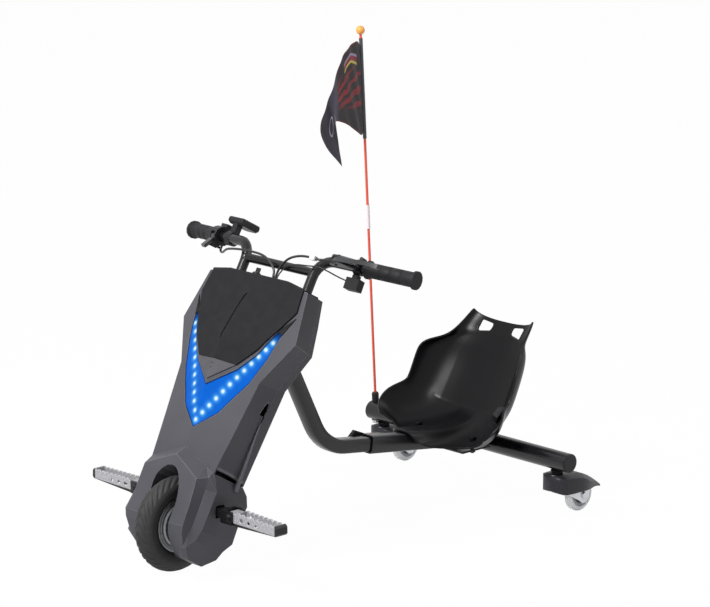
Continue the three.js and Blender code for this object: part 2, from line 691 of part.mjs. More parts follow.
// The thumb throttle's housing on the right bar, and its sprung paddle
function makeThrottle() {
  const frame = barFrames.right;
  const centre = throttle.from + throttle.width / 2;
  const housing = joined(
    barAt('x', throttle.radius, throttle.width, V(centre, 0, 0), 18),
    boxAt(throttle.width, 18, 14, V(centre, 8, throttle.radius)),
    boxAt(throttle.width - 6, 20, 12, V(centre, -4, -throttle.radius)),
  );
  const paddleRoom = barAt('x', throttle.radius + 12, throttle.paddleWidth + 2 * clearance, V(centre, 0, 0), 18)
    .subtract(barAt('x', barRadius + 4, throttle.width, V(centre, 0, 0), 18))
    .intersect(boxAt(throttle.width, 3 * throttle.radius, 2.4 * throttle.radius, V(centre, -throttle.radius, -throttle.radius)));
  const bore = barAt('x', barRadius + seat, 2 * throttle.width, V(centre, 0, 0), 18);
  const housingNode = place(frame, 'throttle_housing', without(housing, bore, paddleRoom), blackPlastic);
  cutByCable(housingNode, leads.throttle);
  const inner = barRadius + 4 + clearance;
  const ring = barAt('x', throttle.radius - 1, throttle.paddleWidth, V(centre, 0, 0), 18)
    .subtract(barAt('x', inner, throttle.width, V(centre, 0, 0), 18))
    .intersect(boxAt(throttle.width, throttle.radius, throttle.radius, V(centre, -throttle.radius * 0.62, -throttle.radius * 0.62)));
  const blade = sidePrism([[-9, -15], [-17, -9], [-26, -22], [-throttle.reach, -throttle.reach],
    [-throttle.reach + 6, -throttle.reach - 4], [-18, -25]], throttle.paddleWidth, centre);
  place(frame, 'throttle_paddle', ring.add(blade), castGrey);
}

const display = { x: -190, back: 69, up: 656, width: 45, depth: 60, height: 15 };

// The display box stands on an arm from the throttle clamp
function makeDisplay() {
  const { x, back, up, width, depth, height } = display;
  const corner = 8;
  const outline = [
    [x - width / 2, back - depth / 2], [x + width / 2, back - depth / 2],
    [x + width / 2, back + depth / 2 - corner], [x + width / 2 - corner, back + depth / 2],
    [x - width / 2 + corner, back + depth / 2], [x - width / 2, back + depth / 2 - corner],
  ].map(([px, py]) => V(px, py, 0));
  const ring = (drop, inset) => outline.map((p) =>
    V(x + (p.x - x) * (1 - inset), back + (p.y - back) * (1 - inset), up + drop));
  const box = loft([ring(-height / 2, 0.16), ring(-height / 6, 0), ring(height / 3, 0), ring(height / 2, 0.08)]);
  const buttonWell = barAt('z', displayButton.radius + clearance, displayButton.depth * 2,
    V(x + displayButton.x, back + displayButton.back, up + height / 2), 16);
  const barAtDisplay = V(x, 48, 617);
  const arm = boxAt(14, 16, up - barAtDisplay.z - 8, V(x, 50, (up + barAtDisplay.z) / 2));
  const clamp = barAt('x', barRadius + 5, 16, barAtDisplay, 16);
  const bore = handlebarBore();
  place(steered, 'display', without(joined(box, arm, clamp), buttonWell, bore), blackPlastic);
  const button = barAt('z', displayButton.radius, displayButton.depth,
    V(x + displayButton.x, back + displayButton.back, up + height / 2 + 1.4 - displayButton.depth / 2), 16);
  place(steered, 'display_button', button, paint(0x8a1f1a, 0.5));
}

const displayButton = { x: 0, back: 18, radius: 5, depth: 4 };

// The straight part of the right bar with its running gap, to cut what clamps round it
function handlebarBore() {
  const from = V(-riserHalfSpan, barCornerBack, barCornerUp);
  const to = V(-barEndHalfSpan, barEndBack, barEndUp);
  return along(new THREE.LineCurve3(from, to), roundSection(barRadius + seat, 14), 1);
}

const brake = {
  clampFrom: 131, clampWidth: 15, clampRadius: 16.5, pivotX: -178, pivotForward: 27, bossRadius: 9,
  leverTip: 62, tipForward: 54, leverThickness: 9, pinRadius: 3,
};

// The brake lever in its perch on the left bar
function makeBrake() {
  const frame = barFrames.left;
  const clampAt = -brake.clampFrom - brake.clampWidth / 2;
  const pivot = V(brake.pivotX, -brake.pivotForward, 0);
  const perchOutline = [
    [clampAt + 8, -8], [clampAt + 8, -brake.clampRadius - 8], [brake.pivotX + 6, -brake.pivotForward - 9],
    [brake.pivotX - 10, -brake.pivotForward - 6], [brake.pivotX - 22, -20], [brake.pivotX - 20, -barRadius - 2],
    [clampAt - 8, -barRadius - 2],
  ];
  const shape = new THREE.Shape(perchOutline.map(([x, y]) => new THREE.Vector2(x, y)));
  const perchHeight = 20;
  const body = outward(new THREE.ExtrudeGeometry(shape, { depth: perchHeight, bevelEnabled: false })
    .translate(0, 0, -perchHeight / 2));
  const clamp = barAt('x', brake.clampRadius, brake.clampWidth, V(clampAt, 0, 0), 16);
  const screwBoss = barAt('y', 4.5, 16, V(clampAt, 2, brake.clampRadius + 1), 12);
  const slot = boxAt(90, 40, brake.leverThickness + 2 * seat, V(brake.pivotX + 16, -brake.pivotForward - 11, 0));
  const bore = barAt('x', barRadius + seat, 200, V(clampAt, 0, 0), 16);
  const pin = barAt('z', brake.pinRadius, perchHeight + 4, pivot, 12);
  const perch = place(frame, 'brake_perch', without(joined(body, clamp, screwBoss), slot, bore).add(pin), blackPlastic);
  cutByCable(perch, leads.brake);
  const blade = [
    [brake.pivotX - 8, -brake.pivotForward - 4], [brake.pivotX, -brake.pivotForward - 9],
    [brake.pivotX + 40, -brake.pivotForward - 19], [-100, -brake.tipForward - 5], [-brake.leverTip, -brake.tipForward - 3],
    [-brake.leverTip + 5, -brake.tipForward + 3], [-brake.leverTip - 2, -brake.tipForward + 6],
    [-100, -brake.tipForward + 6], [brake.pivotX + 40, -brake.pivotForward - 6], [brake.pivotX + 8, -brake.pivotForward + 5],
    [brake.pivotX - 4, -brake.pivotForward + 7],
  ];
  const lever = outward(new THREE.ExtrudeGeometry(
    new THREE.Shape(blade.map(([x, y]) => new THREE.Vector2(x, y))),
    { depth: brake.leverThickness, bevelEnabled: false }).translate(0, 0, -brake.leverThickness / 2));
  const pinHole = barAt('z', brake.pinRadius + seat, perchHeight, pivot, 12);
  place(frame, 'brake_lever', lever.subtract(pinHole), castGrey);
}

const switchBox = { x: -139, width: 32, depth: 22, height: 24, drop: 37, neck: 13, buttonRadius: 5 };

// The push-button box that hangs under the brake's clamp
function makeSwitch() {
  const frame = barFrames.left;
  const { x, width, depth, height, drop, neck, buttonRadius } = switchBox;
  const box = boxAt(width, depth, height, V(x, 0, -drop));
  const neckTop = brake.clampRadius + seat;
  const stem = boxAt(neck, neck, drop - neckTop, V(x, 0, -(drop + neckTop) / 2));
  const face = depth / 2;
  const well = barAt('y', buttonRadius + clearance, 16, V(x, face, -drop), 16);
  const node = place(frame, 'switch_box', without(joined(box, stem), well), blackPlastic);
  cutByCable(node, leads.switch);
  const button = barAt('y', buttonRadius, 7, V(x, face + 2.6 - 7 / 2, -drop), 16);
  place(frame, 'switch_button', button, paint(0xb3261e, 0.5));
}

// FOOT PEGS

const pegBracket = { depth: 24, height: 26 };

// The pegs hang level, so their frames undo the rake
function pegFrame() {
  const frame = new THREE.Group();
  frame.position.set(0, pegBack, pegUp);
  frame.rotation.x = rake;
  steered.add(frame);
  return frame;
}

function makePeg([name, side]) {
  const frame = pegFrame();
  const legOuter = legInner + legThickness;
  const earHalf = pegWidth / 2 + seat;
  const earFrom = pegPivot - 22;
  const arm = boxAt(earFrom - legOuter - seat, pegBracket.depth - 3, pegBracket.height - 8,
    V(side * (earFrom + legOuter + seat) / 2, 0, 0));
  const bridge = boxAt(8, 2 * (earHalf + earThickness), pegHeight - 2, V(side * (earFrom + 3), 0, 0));
  const ears = [1, -1].map((end) => boxAt(34, earThickness, pegHeight - 2,
    V(side * (earFrom + 16), end * (earHalf + earThickness / 2), 0)));
  const pin = barAt('y', pegPinRadius, 2 * (earHalf + earThickness) + 8, V(side * pegPivot, 0, 0), 10);
  const heads = [1, -1].map((end) => barAt('y', 2 * pegPinRadius, 3,
    V(side * pegPivot, end * (earHalf + earThickness + 1.5), 0), 6));
  place(frame, `peg_bracket_${name}`, joined(arm, bridge, ...ears, pin, ...heads), blackPaint);
  place(frame, `peg_${name}`, pegForm(side), castGrey);
}

// A cage of two toothed side plates, tapering outward, with three holes through them
function pegForm(side) {
  const root = pegPivot - pegHeight / 2 + 4;
  const cage = root + pegHeight + 2;
  const topAt = (x) => pegHeight / 2 - (3 * (x - cage)) / (pegEnd - cage);
  const outline = [[root, -pegHeight / 2 + 4], [root + 5, -pegHeight / 2], [cage, -pegHeight / 2],
    [pegEnd - 4, -pegHeight / 2 + 5], [pegEnd, -pegHeight / 2 + 9]];
  const pitch = (pegEnd - cage) / toothCount;
  for (let k = toothCount - 1; k >= 0; k--) {
    const from = cage + k * pitch;
    outline.push([from + pitch * 0.95, topAt(from) - toothHeight], [from + pitch * 0.7, topAt(from)],
      [from + pitch * 0.25, topAt(from)], [from, topAt(from) - toothHeight]);
  }
  outline.push([root + 5, pegHeight / 2 - toothHeight], [root, pegHeight / 2 - toothHeight - 4]);
  const solid = frontPrism(outline.map(([x, up]) => [side * x, up]), -pegWidth / 2, pegWidth / 2);
  const inside = boxAt(pegEnd - cage - 12, pegWidth - 2 * pegPlate, 2 * pegHeight, V(side * (pegEnd + cage - 6) / 2, 0, 0));
  const holes = [0, 1, 2].map((k) =>
    barAt('y', 5.5 - 0.8 * k, 2 * pegWidth, V(side * (cage + 14 + 22 * k), 0, 0.5 - k), 10));
  const pinHole = barAt('y', pegPinRadius + seat, 2 * pegWidth, V(side * pegPivot, 0, 0), 10);
  return without(solid, inside, pinHole, ...holes);
}

// INSIDE THE BODY

function makeInside() {
  const bay = 2 * (legInner - seat);
  const battery = boxAt(bay, 62, 170, V(0, 14, 290));
  const lid = boxAt(bay - 20, 50, 6, V(0, 14, 378));
  place(steered, 'battery_pack', battery.add(lid), paint(0x2f4c8c, 0.6));
  const fins = Array.from({ length: 6 }, (_, k) => boxAt(3, 30, 5, V(-25 + 10 * k, 16, 191)));
  const controllerBody = boxAt(bay, 34, 60, V(0, 16, 160));
  place(steered, 'controller', joined(controllerBody, ...fins), paint(0x8d9196, 0.4, 0.8));
}

// The key switch in the top of the body, and its key
function makeKeySwitch() {
  const { x, back, radius, barrel: barrelRadius } = keyPlace;
  const base = coverTop * 0.994 + hoodRise;
  const shape = turned('z', [[0, -16], [barrelRadius, -16], [barrelRadius, seat], [radius, seat], [radius, 8],
    [radius - 2, 10], [2.6, 10], [2.6, -8], [0, -8]], 20, V(x, back, base));
  place(steered, 'key_switch', shape, blackPlastic);
  const key = joined(barAt('z', 2.2, 20, V(x, back, base + 3), 12), boxAt(12, 2.4, 10, V(x, back, base + 15.4)));
  place(steered, 'key', key, steel);
}

// CABLES

// Each lead's way from the handlebar into the body, its radius and how many steps it is drawn in
const leads = {
  throttle: { radius: 2.5, steps: 20, route: [[-226, 57, 600], [-223, 57, 590], [-203, 48, 584], [-150, 14, 588],
    [-80, 6, 592], [-30, 9, 588], [5, 13, 566], [9.5, 14, 545], [10, 8, 522], [10, 3, 495], [10, 2, 440],
    [10, 2, 392]] },
  brake: { radius: 2.5, steps: 20, route: [[158, 7, 611], [138, -8, 604], [110, -12, 604], [75, -6, 601], [42, 4, 592],
    [20, 12, 572], [15.5, 14, 545], [15.5, 8, 522], [17, 3, 495], [17, 2, 440], [17, 2, 392]] },
  switch: { radius: 1.5, steps: 20, route: [[192, 46, 584], [172, 36, 586], [135, 10, 592], [100, 6, 589], [60, 10, 586],
    [34, 14, 578], [22, 15, 560], [21, 14, 545], [21.5, 8, 522], [24, 2, 495], [24, 2, 440], [24, 2, 392]] },
};
const connector = { at: [128, -10.5, 604.2], length: 14, width: 10, height: 9 };

// A node gives way to a lead that runs into it
function cutByCable(node, { radius, steps, route }) {
  object.updateMatrixWorld(true);
  const toNode = node.matrixWorld.clone().invert().multiply(steered.matrixWorld);
  const path = new THREE.CatmullRomCurve3(route.map((p) => V(...p).applyMatrix4(toNode)), false, 'centripetal');
  const room = along(path, roundSection(radius + 2 * seat, 12), steps);
  node.geometry = geometryOf(solidOf(node.geometry).subtract(room));
  node.geometry.computeVertexNormals();
}

function makeLeads() {
  for (const [name, { radius, steps, route }] of Object.entries(leads)) {
    place(steered, `${name}_lead`, cable(route, radius, steps), rubber);
  }
  const { at, length, width, height } = connector;
  const block = place(steered, 'lead_connector', boxAt(length, width, height, V(...at)), clearWhite);
  cutByCable(block, leads.brake);
}

// FRAME

const frameUp = (y) => sleeveUp - (y - sleeveFront) * Math.tan(frameSlope);

// The point on the steering axis at a given height up it, in the object's own axes
const onSteeringAxis = (up) => V(0, up * Math.sin(rake) + steerBack * Math.cos(rake),
  wheelRadius + up * Math.cos(rake) - steerBack * Math.sin(rake));

function makeHeadTube() {
  const low = lowerYokeUp + yokeThickness + seat;
  const centre = low + bearingHeight + headTubeLength / 2;
  const inner = steererRadius + 3;
  const head = barAt('z', headTubeRadius, headTubeLength, V(0, steerBack, centre))
    .subtract(barAt('z', inner, 2 * headTubeLength, V(0, steerBack, centre)));
  const cups = [[low, 1], [low + bearingHeight + headTubeLength, -1]];
  place(steered, 'head_tube', head, blackPaint);
  ['lower', 'upper'].forEach((name, k) => {
    const bearing = barAt('z', headTubeRadius + 1, bearingHeight - seat, V(0, steerBack, cups[k][0] + bearingHeight / 2))
      .subtract(barAt('z', steererRadius + seat, 2 * bearingHeight, V(0, steerBack, cups[k][0])));
    place(steered, `head_bearing_${name}`, bearing, steel);
  });
}

function frameCorner() {
  const start = onSteeringAxis(downTubeMeet);
  const fall = V(0, Math.sin(downTubeLean), -Math.cos(downTubeLean));
  const slope = Math.tan(frameSlope);
  const reach = (start.z - frameUp(start.y)) / (-fall.z - slope * fall.y);
  return start.clone().addScaledVector(fall, reach);
}

function makeMainTube() {
  const start = onSteeringAxis(downTubeMeet);
  const corner = frameCorner();
  const endY = sleeveFront + tubeInsertion;
  const path = new BentPath([start, corner, V(0, endY, frameUp(endY))], frameBend, 9);
  const tube = along(path, squareSection(tubeSize, tubeCorner));
  const head = new THREE.CylinderGeometry(headTubeRadius + seat, headTubeRadius + seat, 2 * headTubeLength, 24)
    .rotateX(Math.PI / 2).rotateX(-rake);
  const middle = onSteeringAxis(lowerYokeUp + yokeThickness + headTubeLength / 2);
  head.translate(middle.x, middle.y, middle.z);
  place(object, 'main_tube', tube.subtract(solidOf(head)), blackPaint);
}

// The sleeve with its seat tabs, closed by the beam that is welded across its back
function makeSleeve() {
  const centreAt = (y) => V(0, y, frameUp(y));
  const outer = along(new THREE.LineCurve3(centreAt(sleeveFront), centreAt(beamBack)),
    squareSection(sleeveSize, tubeCorner), 1);
  const inner = along(new THREE.LineCurve3(centreAt(sleeveFront - overrun), centreAt(beamBack - 2 * beamRadius)),
    squareSection(sleeveSize - 2 * sleeveWall, tubeCorner - sleeveWall / 2), 1);
  const beamCut = barAt('x', beamRadius + seat, 2 * sleeveSize, V(0, beamBack, beamHeight), 24);
  const tabs = sides.map(([, side]) => without(
    boxAt(seatTab.reach, seatTab.length, seatTab.thickness,
      V(side * (sleeveSize / 2 + seatTab.reach / 2 - sleeveWall / 2), seatBoltBack, seatTab.up)),
    barAt('z', seatBolt.radius + clearance, 4 * seatTab.thickness, V(side * seatBoltSpan, seatBoltBack, seatTab.up), 12)));
  const studHole = barAt('x', lever.studRadius + clearance, sleeveSize,
    V(-sleeveSize / 2, lever.back, frameUp(lever.back)), 12);
  place(object, 'rear_sleeve', without(joined(outer.subtract(inner), ...tabs), beamCut, studHole), blackPaint);
}

const seatTab = { reach: 78, length: 84, thickness: 4, up: 127 };
const seatBolt = { radius: 4, headRadius: 8, headHeight: 3, boss: 12, bossTop: 151, nut: 5 };
const lever = { back: 590, studRadius: 4, hubRadius: 11, hubWidth: 18, thickness: 9, span: 28 };
// The lever's blade from its tip back along the top and forward underneath, as [back, up] in sleeve sizes from the hub
const leverShares = [[-1.575, 0.45], [-1.175, 0.775], [-0.525, 0.5], [0.225, 0.16], [0.12, -0.2], [-0.12, -0.2],
  [-0.4, 0.16], [-0.875, 0.4]];

// The clamp lever that holds the frame's length, on the sleeve's right side
function makeLever() {
  const up = frameUp(lever.back);
  const blade = sidePrism(leverShares.map(([y, z]) => [lever.back + y * sleeveSize, up + z * sleeveSize]),
    lever.thickness, -lever.span);
  const hubFrom = sleeveSize / 2 + seat;
  const hub = barAt('x', lever.hubRadius, lever.hubWidth, V(-hubFrom - lever.hubWidth / 2, lever.back, up), 20);
  const studFrom = tubeSize / 2 + seat;
  const stud = barAt('x', lever.studRadius, lever.hubWidth, V(-studFrom - lever.hubWidth / 2, lever.back, up), 12);
  place(object, 'length_lever', joined(blade, hub, stud), blackPlastic);
}

function makeBeam() {
  const beam = barAt('x', beamRadius, 2 * beamHalfLength, V(0, beamBack, beamHeight), 24);
  const bore = barAt('x', beamRadius - beamWall, 3 * beamHalfLength, V(0, beamBack, beamHeight), 24);
  const poleHole = barAt('z', flagSocket.plug + clearance, beamRadius, V(-flagHalfSpan, beamBack, beamHeight + beamRadius), 12);
  const studHole = barAt('z', flagStud.radius + clearance, beamRadius, V(-flagHalfSpan, beamBack, beamHeight - beamRadius), 12);
  place(object, 'rear_beam', without(beam, bore, poleHole, studHole), blackPaint);
  for (const [name, side] of sides) {
    const cap = turned('x', [[0, 0], [0, capThickness], [beamRadius - 2, capThickness], [beamRadius, capThickness - 1.5],
      [beamRadius, seat], [beamRadius - beamWall - seat, seat], [beamRadius - beamWall - seat, -3], [0, -3]]
      .map(([r, a]) => [r, side * (beamHalfLength + a)]), 24, V(0, beamBack, beamHeight));
    place(object, `beam_cap_${name}`, cap, blackPlastic);
  }
}

// SEAT

// Rows of the bucket from its front rim to its top, in seat units: half width, middle back, how far the tongue over
// the sleeve reaches forward, middle up, edge back, edge up and how deep the leg troughs are
const seatRowShares = [
  [1.61, 7.73, 1.28, 1.805, 7.42, 1.68, 0.38],
  [1.82, 7.82, 0.92, 1.75, 7.58, 1.90, 0.36],
  [1.81, 8.00, 0.55, 1.68, 7.83, 2.13, 0.27],
  [1.635, 8.25, 0.22, 1.64, 8.00, 2.25, 0.15],
  [1.555, 8.50, 0, 1.71, 8.23, 2.32, 0.04],
  [1.55, 8.72, 0, 1.85, 8.29, 2.42, 0],
  [1.545, 8.93, 0, 2.22, 8.35, 2.53, 0],
  [1.525, 9.25, 0, 2.75, 8.50, 2.91, 0],
  [1.485, 9.40, 0, 3.10, 8.61, 3.15, 0],
  [1.205, 9.52, 0, 3.30, 8.98, 3.21, 0],
  [1.04, 9.58, 0, 3.42, 9.14, 3.34, 0],
  [0.85, 9.68, 0, 3.56, 9.55, 3.68, 0],
  [0.78, 9.77, 0, 3.68, 9.67, 3.83, 0],
];
// Columns from the middle to the edge: how far across, how much of the trough and how much of the tongue they take
const seatColumnShares = [
  [0, 0, 1], [0.115, 0, 0.93], [0.15, 0.7, 0.82], [0.22, 0.95, 0.64], [0.32, 1, 0.42], [0.44, 1, 0.2],
  [0.56, 0.9, 0.06], [0.68, 0.6, 0], [0.8, 0.3, 0], [0.9, 0.1, 0], [1, 0, 0],
];
const seatColumns = [...seatColumnShares.slice(1).reverse().map(([s, ...rest]) => [-s, ...rest]), ...seatColumnShares];
const seatHoleShares = [[0.296, 3.574], [0.615, 3.634], [0.609, 3.39], [0.299, 3.428]];
const curlShare = 2.4;

function seatPoint(row, [s, trough, tongue]) {
  const [half, backMiddle, reach, upMiddle, backEdge, upEdge, depth] = row;
  const curl = Math.abs(s) ** curlShare;
  const round = (Math.PI / 2) * 0.92;
  return V(half * Math.sin(s * round) / Math.sin(round),
    backMiddle + (backEdge - backMiddle) * curl - reach * tongue,
    upMiddle + (upEdge - upMiddle) * curl - depth * trough).multiplyScalar(seatUnit);
}

function seatForm() {
  const rows = seatRowShares.length;
  const columns = seatColumns.length;
  const grid = seatRowShares.map((row) => seatColumns.map((column) => seatPoint(row, column)));
  const at = (i, j) => grid[Math.min(rows - 1, Math.max(0, i))][Math.min(columns - 1, Math.max(0, j))];
  const under = grid.map((row, i) => row.map((p, j) => {
    const across = at(i, j + 1).clone().sub(at(i, j - 1));
    const up = at(i + 1, j).clone().sub(at(i - 1, j));
    return p.clone().addScaledVector(across.cross(up).normalize(), -seatShell);
  }));
  const rim = [];
  for (let i = 0; i < rows; i++) rim.push([i, 0]);
  for (let j = 1; j < columns; j++) rim.push([rows - 1, j]);
  for (let i = rows - 2; i >= 0; i--) rim.push([i, columns - 1]);
  for (let j = columns - 2; j > 0; j--) rim.push([0, j]);
  const positions = [...grid.flat(), ...under.flat()].flatMap((p) => [p.x, p.y, p.z]);
  const half = rows * columns;
  const index = [];
  for (let i = 0; i + 1 < rows; i++) {
    for (let j = 0; j + 1 < columns; j++) {
      const [a, b] = [i * columns + j, i * columns + j + 1];
      const [c, d] = [a + columns, b + columns];
      index.push(a, b, d, a, d, c, half + a, half + d, half + b, half + a, half + c, half + d);
    }
  }
  rim.forEach(([i, j], k) => {
    const [m, n] = rim[(k + 1) % rim.length];
    const [a, b] = [i * columns + j, m * columns + n];
    index.push(a, b, half + b, a, half + b, half + a);
  });
  const geometry = new THREE.BufferGeometry();
  geometry.setAttribute('position', new THREE.Float32BufferAttribute(positions, 3));
  geometry.setIndex(index);
  return outward(geometry);
}

function makeSeat() {
  const { radius, headRadius, boss, bossTop } = seatBolt;
  const holes = sides.map(([, side]) => frontPrism(
    seatHoleShares.map(([x, up]) => [side * x * seatUnit, up * seatUnit]), beamBack, overallRear + overrun));
  const bossLow = seatTab.up + seatTab.thickness / 2 + seat;
  const bosses = sides.map(([, side]) =>
    barAt('z', boss, bossTop - bossLow, V(side * seatBoltSpan, seatBoltBack, (bossTop + bossLow) / 2), 12));
  const boltHoles = sides.flatMap(([, side]) => [
    barAt('z', radius + clearance, 2 * overrun, V(side * seatBoltSpan, seatBoltBack, bossTop), 12),
    barAt('z', headRadius + 1.5, overrun, V(side * seatBoltSpan, seatBoltBack, bossTop + overrun / 2), 12)]);
  const catchHole = catchFrameSolid(barAt('z', seatCatch.stud + clearance, 4 * seatShell, V(0, 0, 0), 12));
  place(object, 'seat', without(joined(seatForm(), ...bosses), ...holes, ...boltHoles, catchHole), seatPlastic);
}

function makeSeatBolt([name, side]) {
  const { radius, headRadius, headHeight, bossTop, nut } = seatBolt;
  const nutTop = seatTab.up - seatTab.thickness / 2 - seat;
  const low = nutTop - nut - 2;
  const bolt = joined(
    barAt('z', radius, bossTop + 2 * seat - low, V(side * seatBoltSpan, seatBoltBack, (bossTop + 2 * seat + low) / 2), 12),
    barAt('z', headRadius, headHeight, V(side * seatBoltSpan, seatBoltBack, bossTop + seat + headHeight / 2), 16),
    barAt('z', headRadius - 1, nut, V(side * seatBoltSpan, seatBoltBack, nutTop - nut / 2), 6));
  place(object, `seat_bolt_${name}`, bolt, steel);
}

const seatCatch = { length: 36, width: 20, depth: 16, stud: 4, row: 4, column: 0.72 };

// Where the catch stands: on the outside of the bucket's left flank, square to it
function catchFrame() {
  const column = [seatCatch.column, 0, 0];
  const at = (row, across) => seatPoint(seatRowShares[row], [across, 0, 0]);
  const middle = seatPoint(seatRowShares[seatCatch.row], column);
  const up = at(seatCatch.row + 1, column[0]).sub(at(seatCatch.row - 1, column[0])).normalize();
  const out = at(seatCatch.row, 1).sub(at(seatCatch.row, 0.8)).cross(up).normalize();
  const frame = new THREE.Matrix4().makeBasis(up, out.clone().cross(up), out);
  return frame.setPosition(middle.addScaledVector(out, seatShell / 2));
}

const catchFrameSolid = (solid) => solidOf(geometryOf(solid).applyMatrix4(catchFrame()));

// A moulded block bolted to the bucket's left flank
function makeSeatCatch() {
  const { length, width, depth, stud } = seatCatch;
  const from = seatShell + 4 * clearance;
  const body = loft([[0, 1], [0.3, 1], [1, 0.72]].map(([rise, share]) => [
    V(-length / 2 * share, -width / 2 * share, from + rise * depth), V(length / 2 * share, -width / 2 * share, from + rise * depth),
    V(length / 2 * share, width / 2 * share, from + rise * depth), V(-length / 2 * share, width / 2 * share, from + rise * depth),
  ]));
  const pin = barAt('z', stud, seatShell + from, V(0, 0, from / 2), 12);
  place(object, 'seat_side_catch', catchFrameSolid(body.add(pin)), blackPlastic);
}

// CASTERS

// Rings of the cover along the trail: back from the stem, half width, bottom, edge and crown, all in caster radii
const casterCoverShares = [
  [-0.533, 0.107, 1.653, 2.08, 2.133], [-0.453, 0.48, 1.547, 2.347, 2.427],
  [-0.32, 0.773, 1.493, 2.4, 2.507], [-0.107, 0.973, 1.48, 2.4, 2.533],
  [0.32, 1, 1.467, 2.4, 2.56], [1.2, 0.96, 1.44, 2.24, 2.48],
  [1.6, 0.907, 1.413, 2.107, 2.373], [2.133, 0.72, 1.36, 1.813, 2.133],
  [2.667, 0.48, 1.333, 1.6, 1.84], [3.2, 0.213, 1.227, 1.387, 1.52],
  [3.68, 0.027, 1.093, 1.147, 1.2],
];
const crownShare = 0.6;
const casterLegShares = [
  [-0.213, 2.187], [1.387, 2.187], [2.293, 1.6], [2.347, 1.2], [2.24, 0.747],
  [2.027, 0.533], [1.707, 0.533], [1.44, 0.747], [0.533, 1.227], [-0.053, 1.6],
];

function casterCoverForm(inset, drop) {
  const rows = inset > 0 ? casterCoverShares.slice(0, -1) : casterCoverShares;
  return loft(rows.map((row) => {
    const [back, half, low, edge, crown] = row.map((share) => share * casterRadius);
    const y = back < 0 ? back + inset : back;
    const w = half - inset;
    return [V(w, y, low - drop), V(w, y, edge - inset), V(crownShare * w, y, crown - inset),
      V(-crownShare * w, y, crown - inset), V(-w, y, edge - inset), V(-w, y, low - drop)];
  }));
}

function makeCaster([name, side]) {
  const group = new THREE.Group();
  group.position.set(side * casterHalfTrack, beamBack, 0);
  object.add(group);
  const { wall, plateTop, plateHalf, plateThickness, plateFrom, plateTo, legThick, legGap, axle, head } = casterFork;
  const stemTop = beamHeight - beamRadius - seat;
  const cover = casterCoverForm(0, 0).subtract(casterCoverForm(wall, overrun))
    .subtract(barAt('z', casterNeck + seat, 3 * overrun, V(0, 0, stemTop), 16));
  place(group, `caster_cover_${name}`, cover, blackPlastic);
  const crownUnder = casterCoverShares[3][4] * casterRadius - wall;
  const neck = barAt('z', casterNeck, stemTop - plateTop, V(0, 0, (stemTop + plateTop) / 2), 16);
  const shoulderTop = crownUnder - 2 * seat;
  const shoulder = boxAt(2 * casterNeck + 6, casterNeck + 6, shoulderTop - plateTop,
    V(0, casterNeck / 2 + 3, (shoulderTop + plateTop) / 2));
  const plate = boxAt(2 * plateHalf, plateTo - plateFrom, plateThickness,
    V(0, (plateTo + plateFrom) / 2, plateTop - plateThickness / 2));
  const outline = casterLegShares.map(([y, z]) => [y * casterRadius, z * casterRadius]);
  const legs = sides.map(([, s]) => sidePrism(outline, legThick, s * (casterWidth / 2 + legGap + legThick / 2)));
  const legOuter = casterWidth / 2 + legGap + legThick;
  const bolt = barAt('x', axle, 2 * legOuter, V(0, casterTrail, casterRadius), 14);
  const heads = sides.map(([, s]) => barAt('x', head, head / 2, V(s * (legOuter + head / 4), casterTrail, casterRadius), 6));
  place(group, `caster_fork_${name}`, joined(neck, shoulder, plate, ...legs, bolt, ...heads), steel);
  const half = casterWidth / 2;
  const profile = [[axle + seat, -half], [16, -half], [18, -half + 3], [casterRadius - 6, -half + 2],
    [casterRadius, -half + 7], [casterRadius, half - 7], [casterRadius - 6, half - 2],
    [18, half - 3], [16, half], [axle + seat, half], [axle + seat, -half]];
  place(group, `caster_wheel_${name}`, turned('x', profile, 20, V(0, casterTrail, casterRadius)), clearWhite);
}

const casterFork = {
  wall: 2.4, plateTop: 82, plateHalf: 20, plateThickness: 4, plateFrom: -11, plateTo: 52, legThick: 3, legGap: 2.5,
  axle: 4, head: 8,
};

// FLAG

const flagSocket = { plug: 5, radius: 8, height: 22 };
const flagStud = { radius: 4, nutRadius: 7.5, nut: 5.5, washerRadius: 9, washer: 1.5, rise: 38 };

// The pole leans forward a little, as its hole in the beam is drilled
const flagFrame = new THREE.Group();
flagFrame.position.set(-flagHalfSpan, beamBack, beamHeight + beamRadius);
flagFrame.rotation.x = poleLean;
object.add(flagFrame);

function makeFlagPole() {
  const bore = poleRadius + seat;
  const socket = turned('z', [[0, -beamWall * 3], [flagSocket.plug, -beamWall * 3], [flagSocket.plug, seat],
    [flagSocket.radius, seat], [flagSocket.radius, flagSocket.height - 3], [flagSocket.radius - 2, flagSocket.height],
    [bore, flagSocket.height], [bore, 0], [0, 0]], 20);
  place(flagFrame, 'flag_socket', socket, rubber);
  const lower = turned('z', [[0, seat], [poleRadius, seat], [poleRadius, poleSplit - 25], [poleRadius + 1.3, poleSplit - 25],
    [poleRadius + 1.3, poleSplit + 30], [bore, poleSplit + 30], [bore, poleSplit], [0, poleSplit]], 12);
  place(flagFrame, 'flag_pole_lower', lower, redPole);
  const upper = barAt('z', poleRadius, poleLength - poleSplit - seat, V(0, 0, (poleLength + poleSplit + seat) / 2), 12);
  place(flagFrame, 'flag_pole_upper', upper, redPole);
  const ballUp = poleLength + ballRadius - 6;
  const steps = 8;
  const profile = Array.from({ length: steps + 1 }, (_, k) => {
    const angle = Math.asin(bore / ballRadius) + ((Math.PI - Math.asin(bore / ballRadius)) * k) / steps;
    return [k === steps ? 0 : ballRadius * Math.sin(angle), ballUp - ballRadius * Math.cos(angle)];
  });
  const pocket = poleLength + seat;
  place(flagFrame, 'flag_ball', turned('z', [[0, pocket], [bore, pocket], ...profile], 14), orange);
}

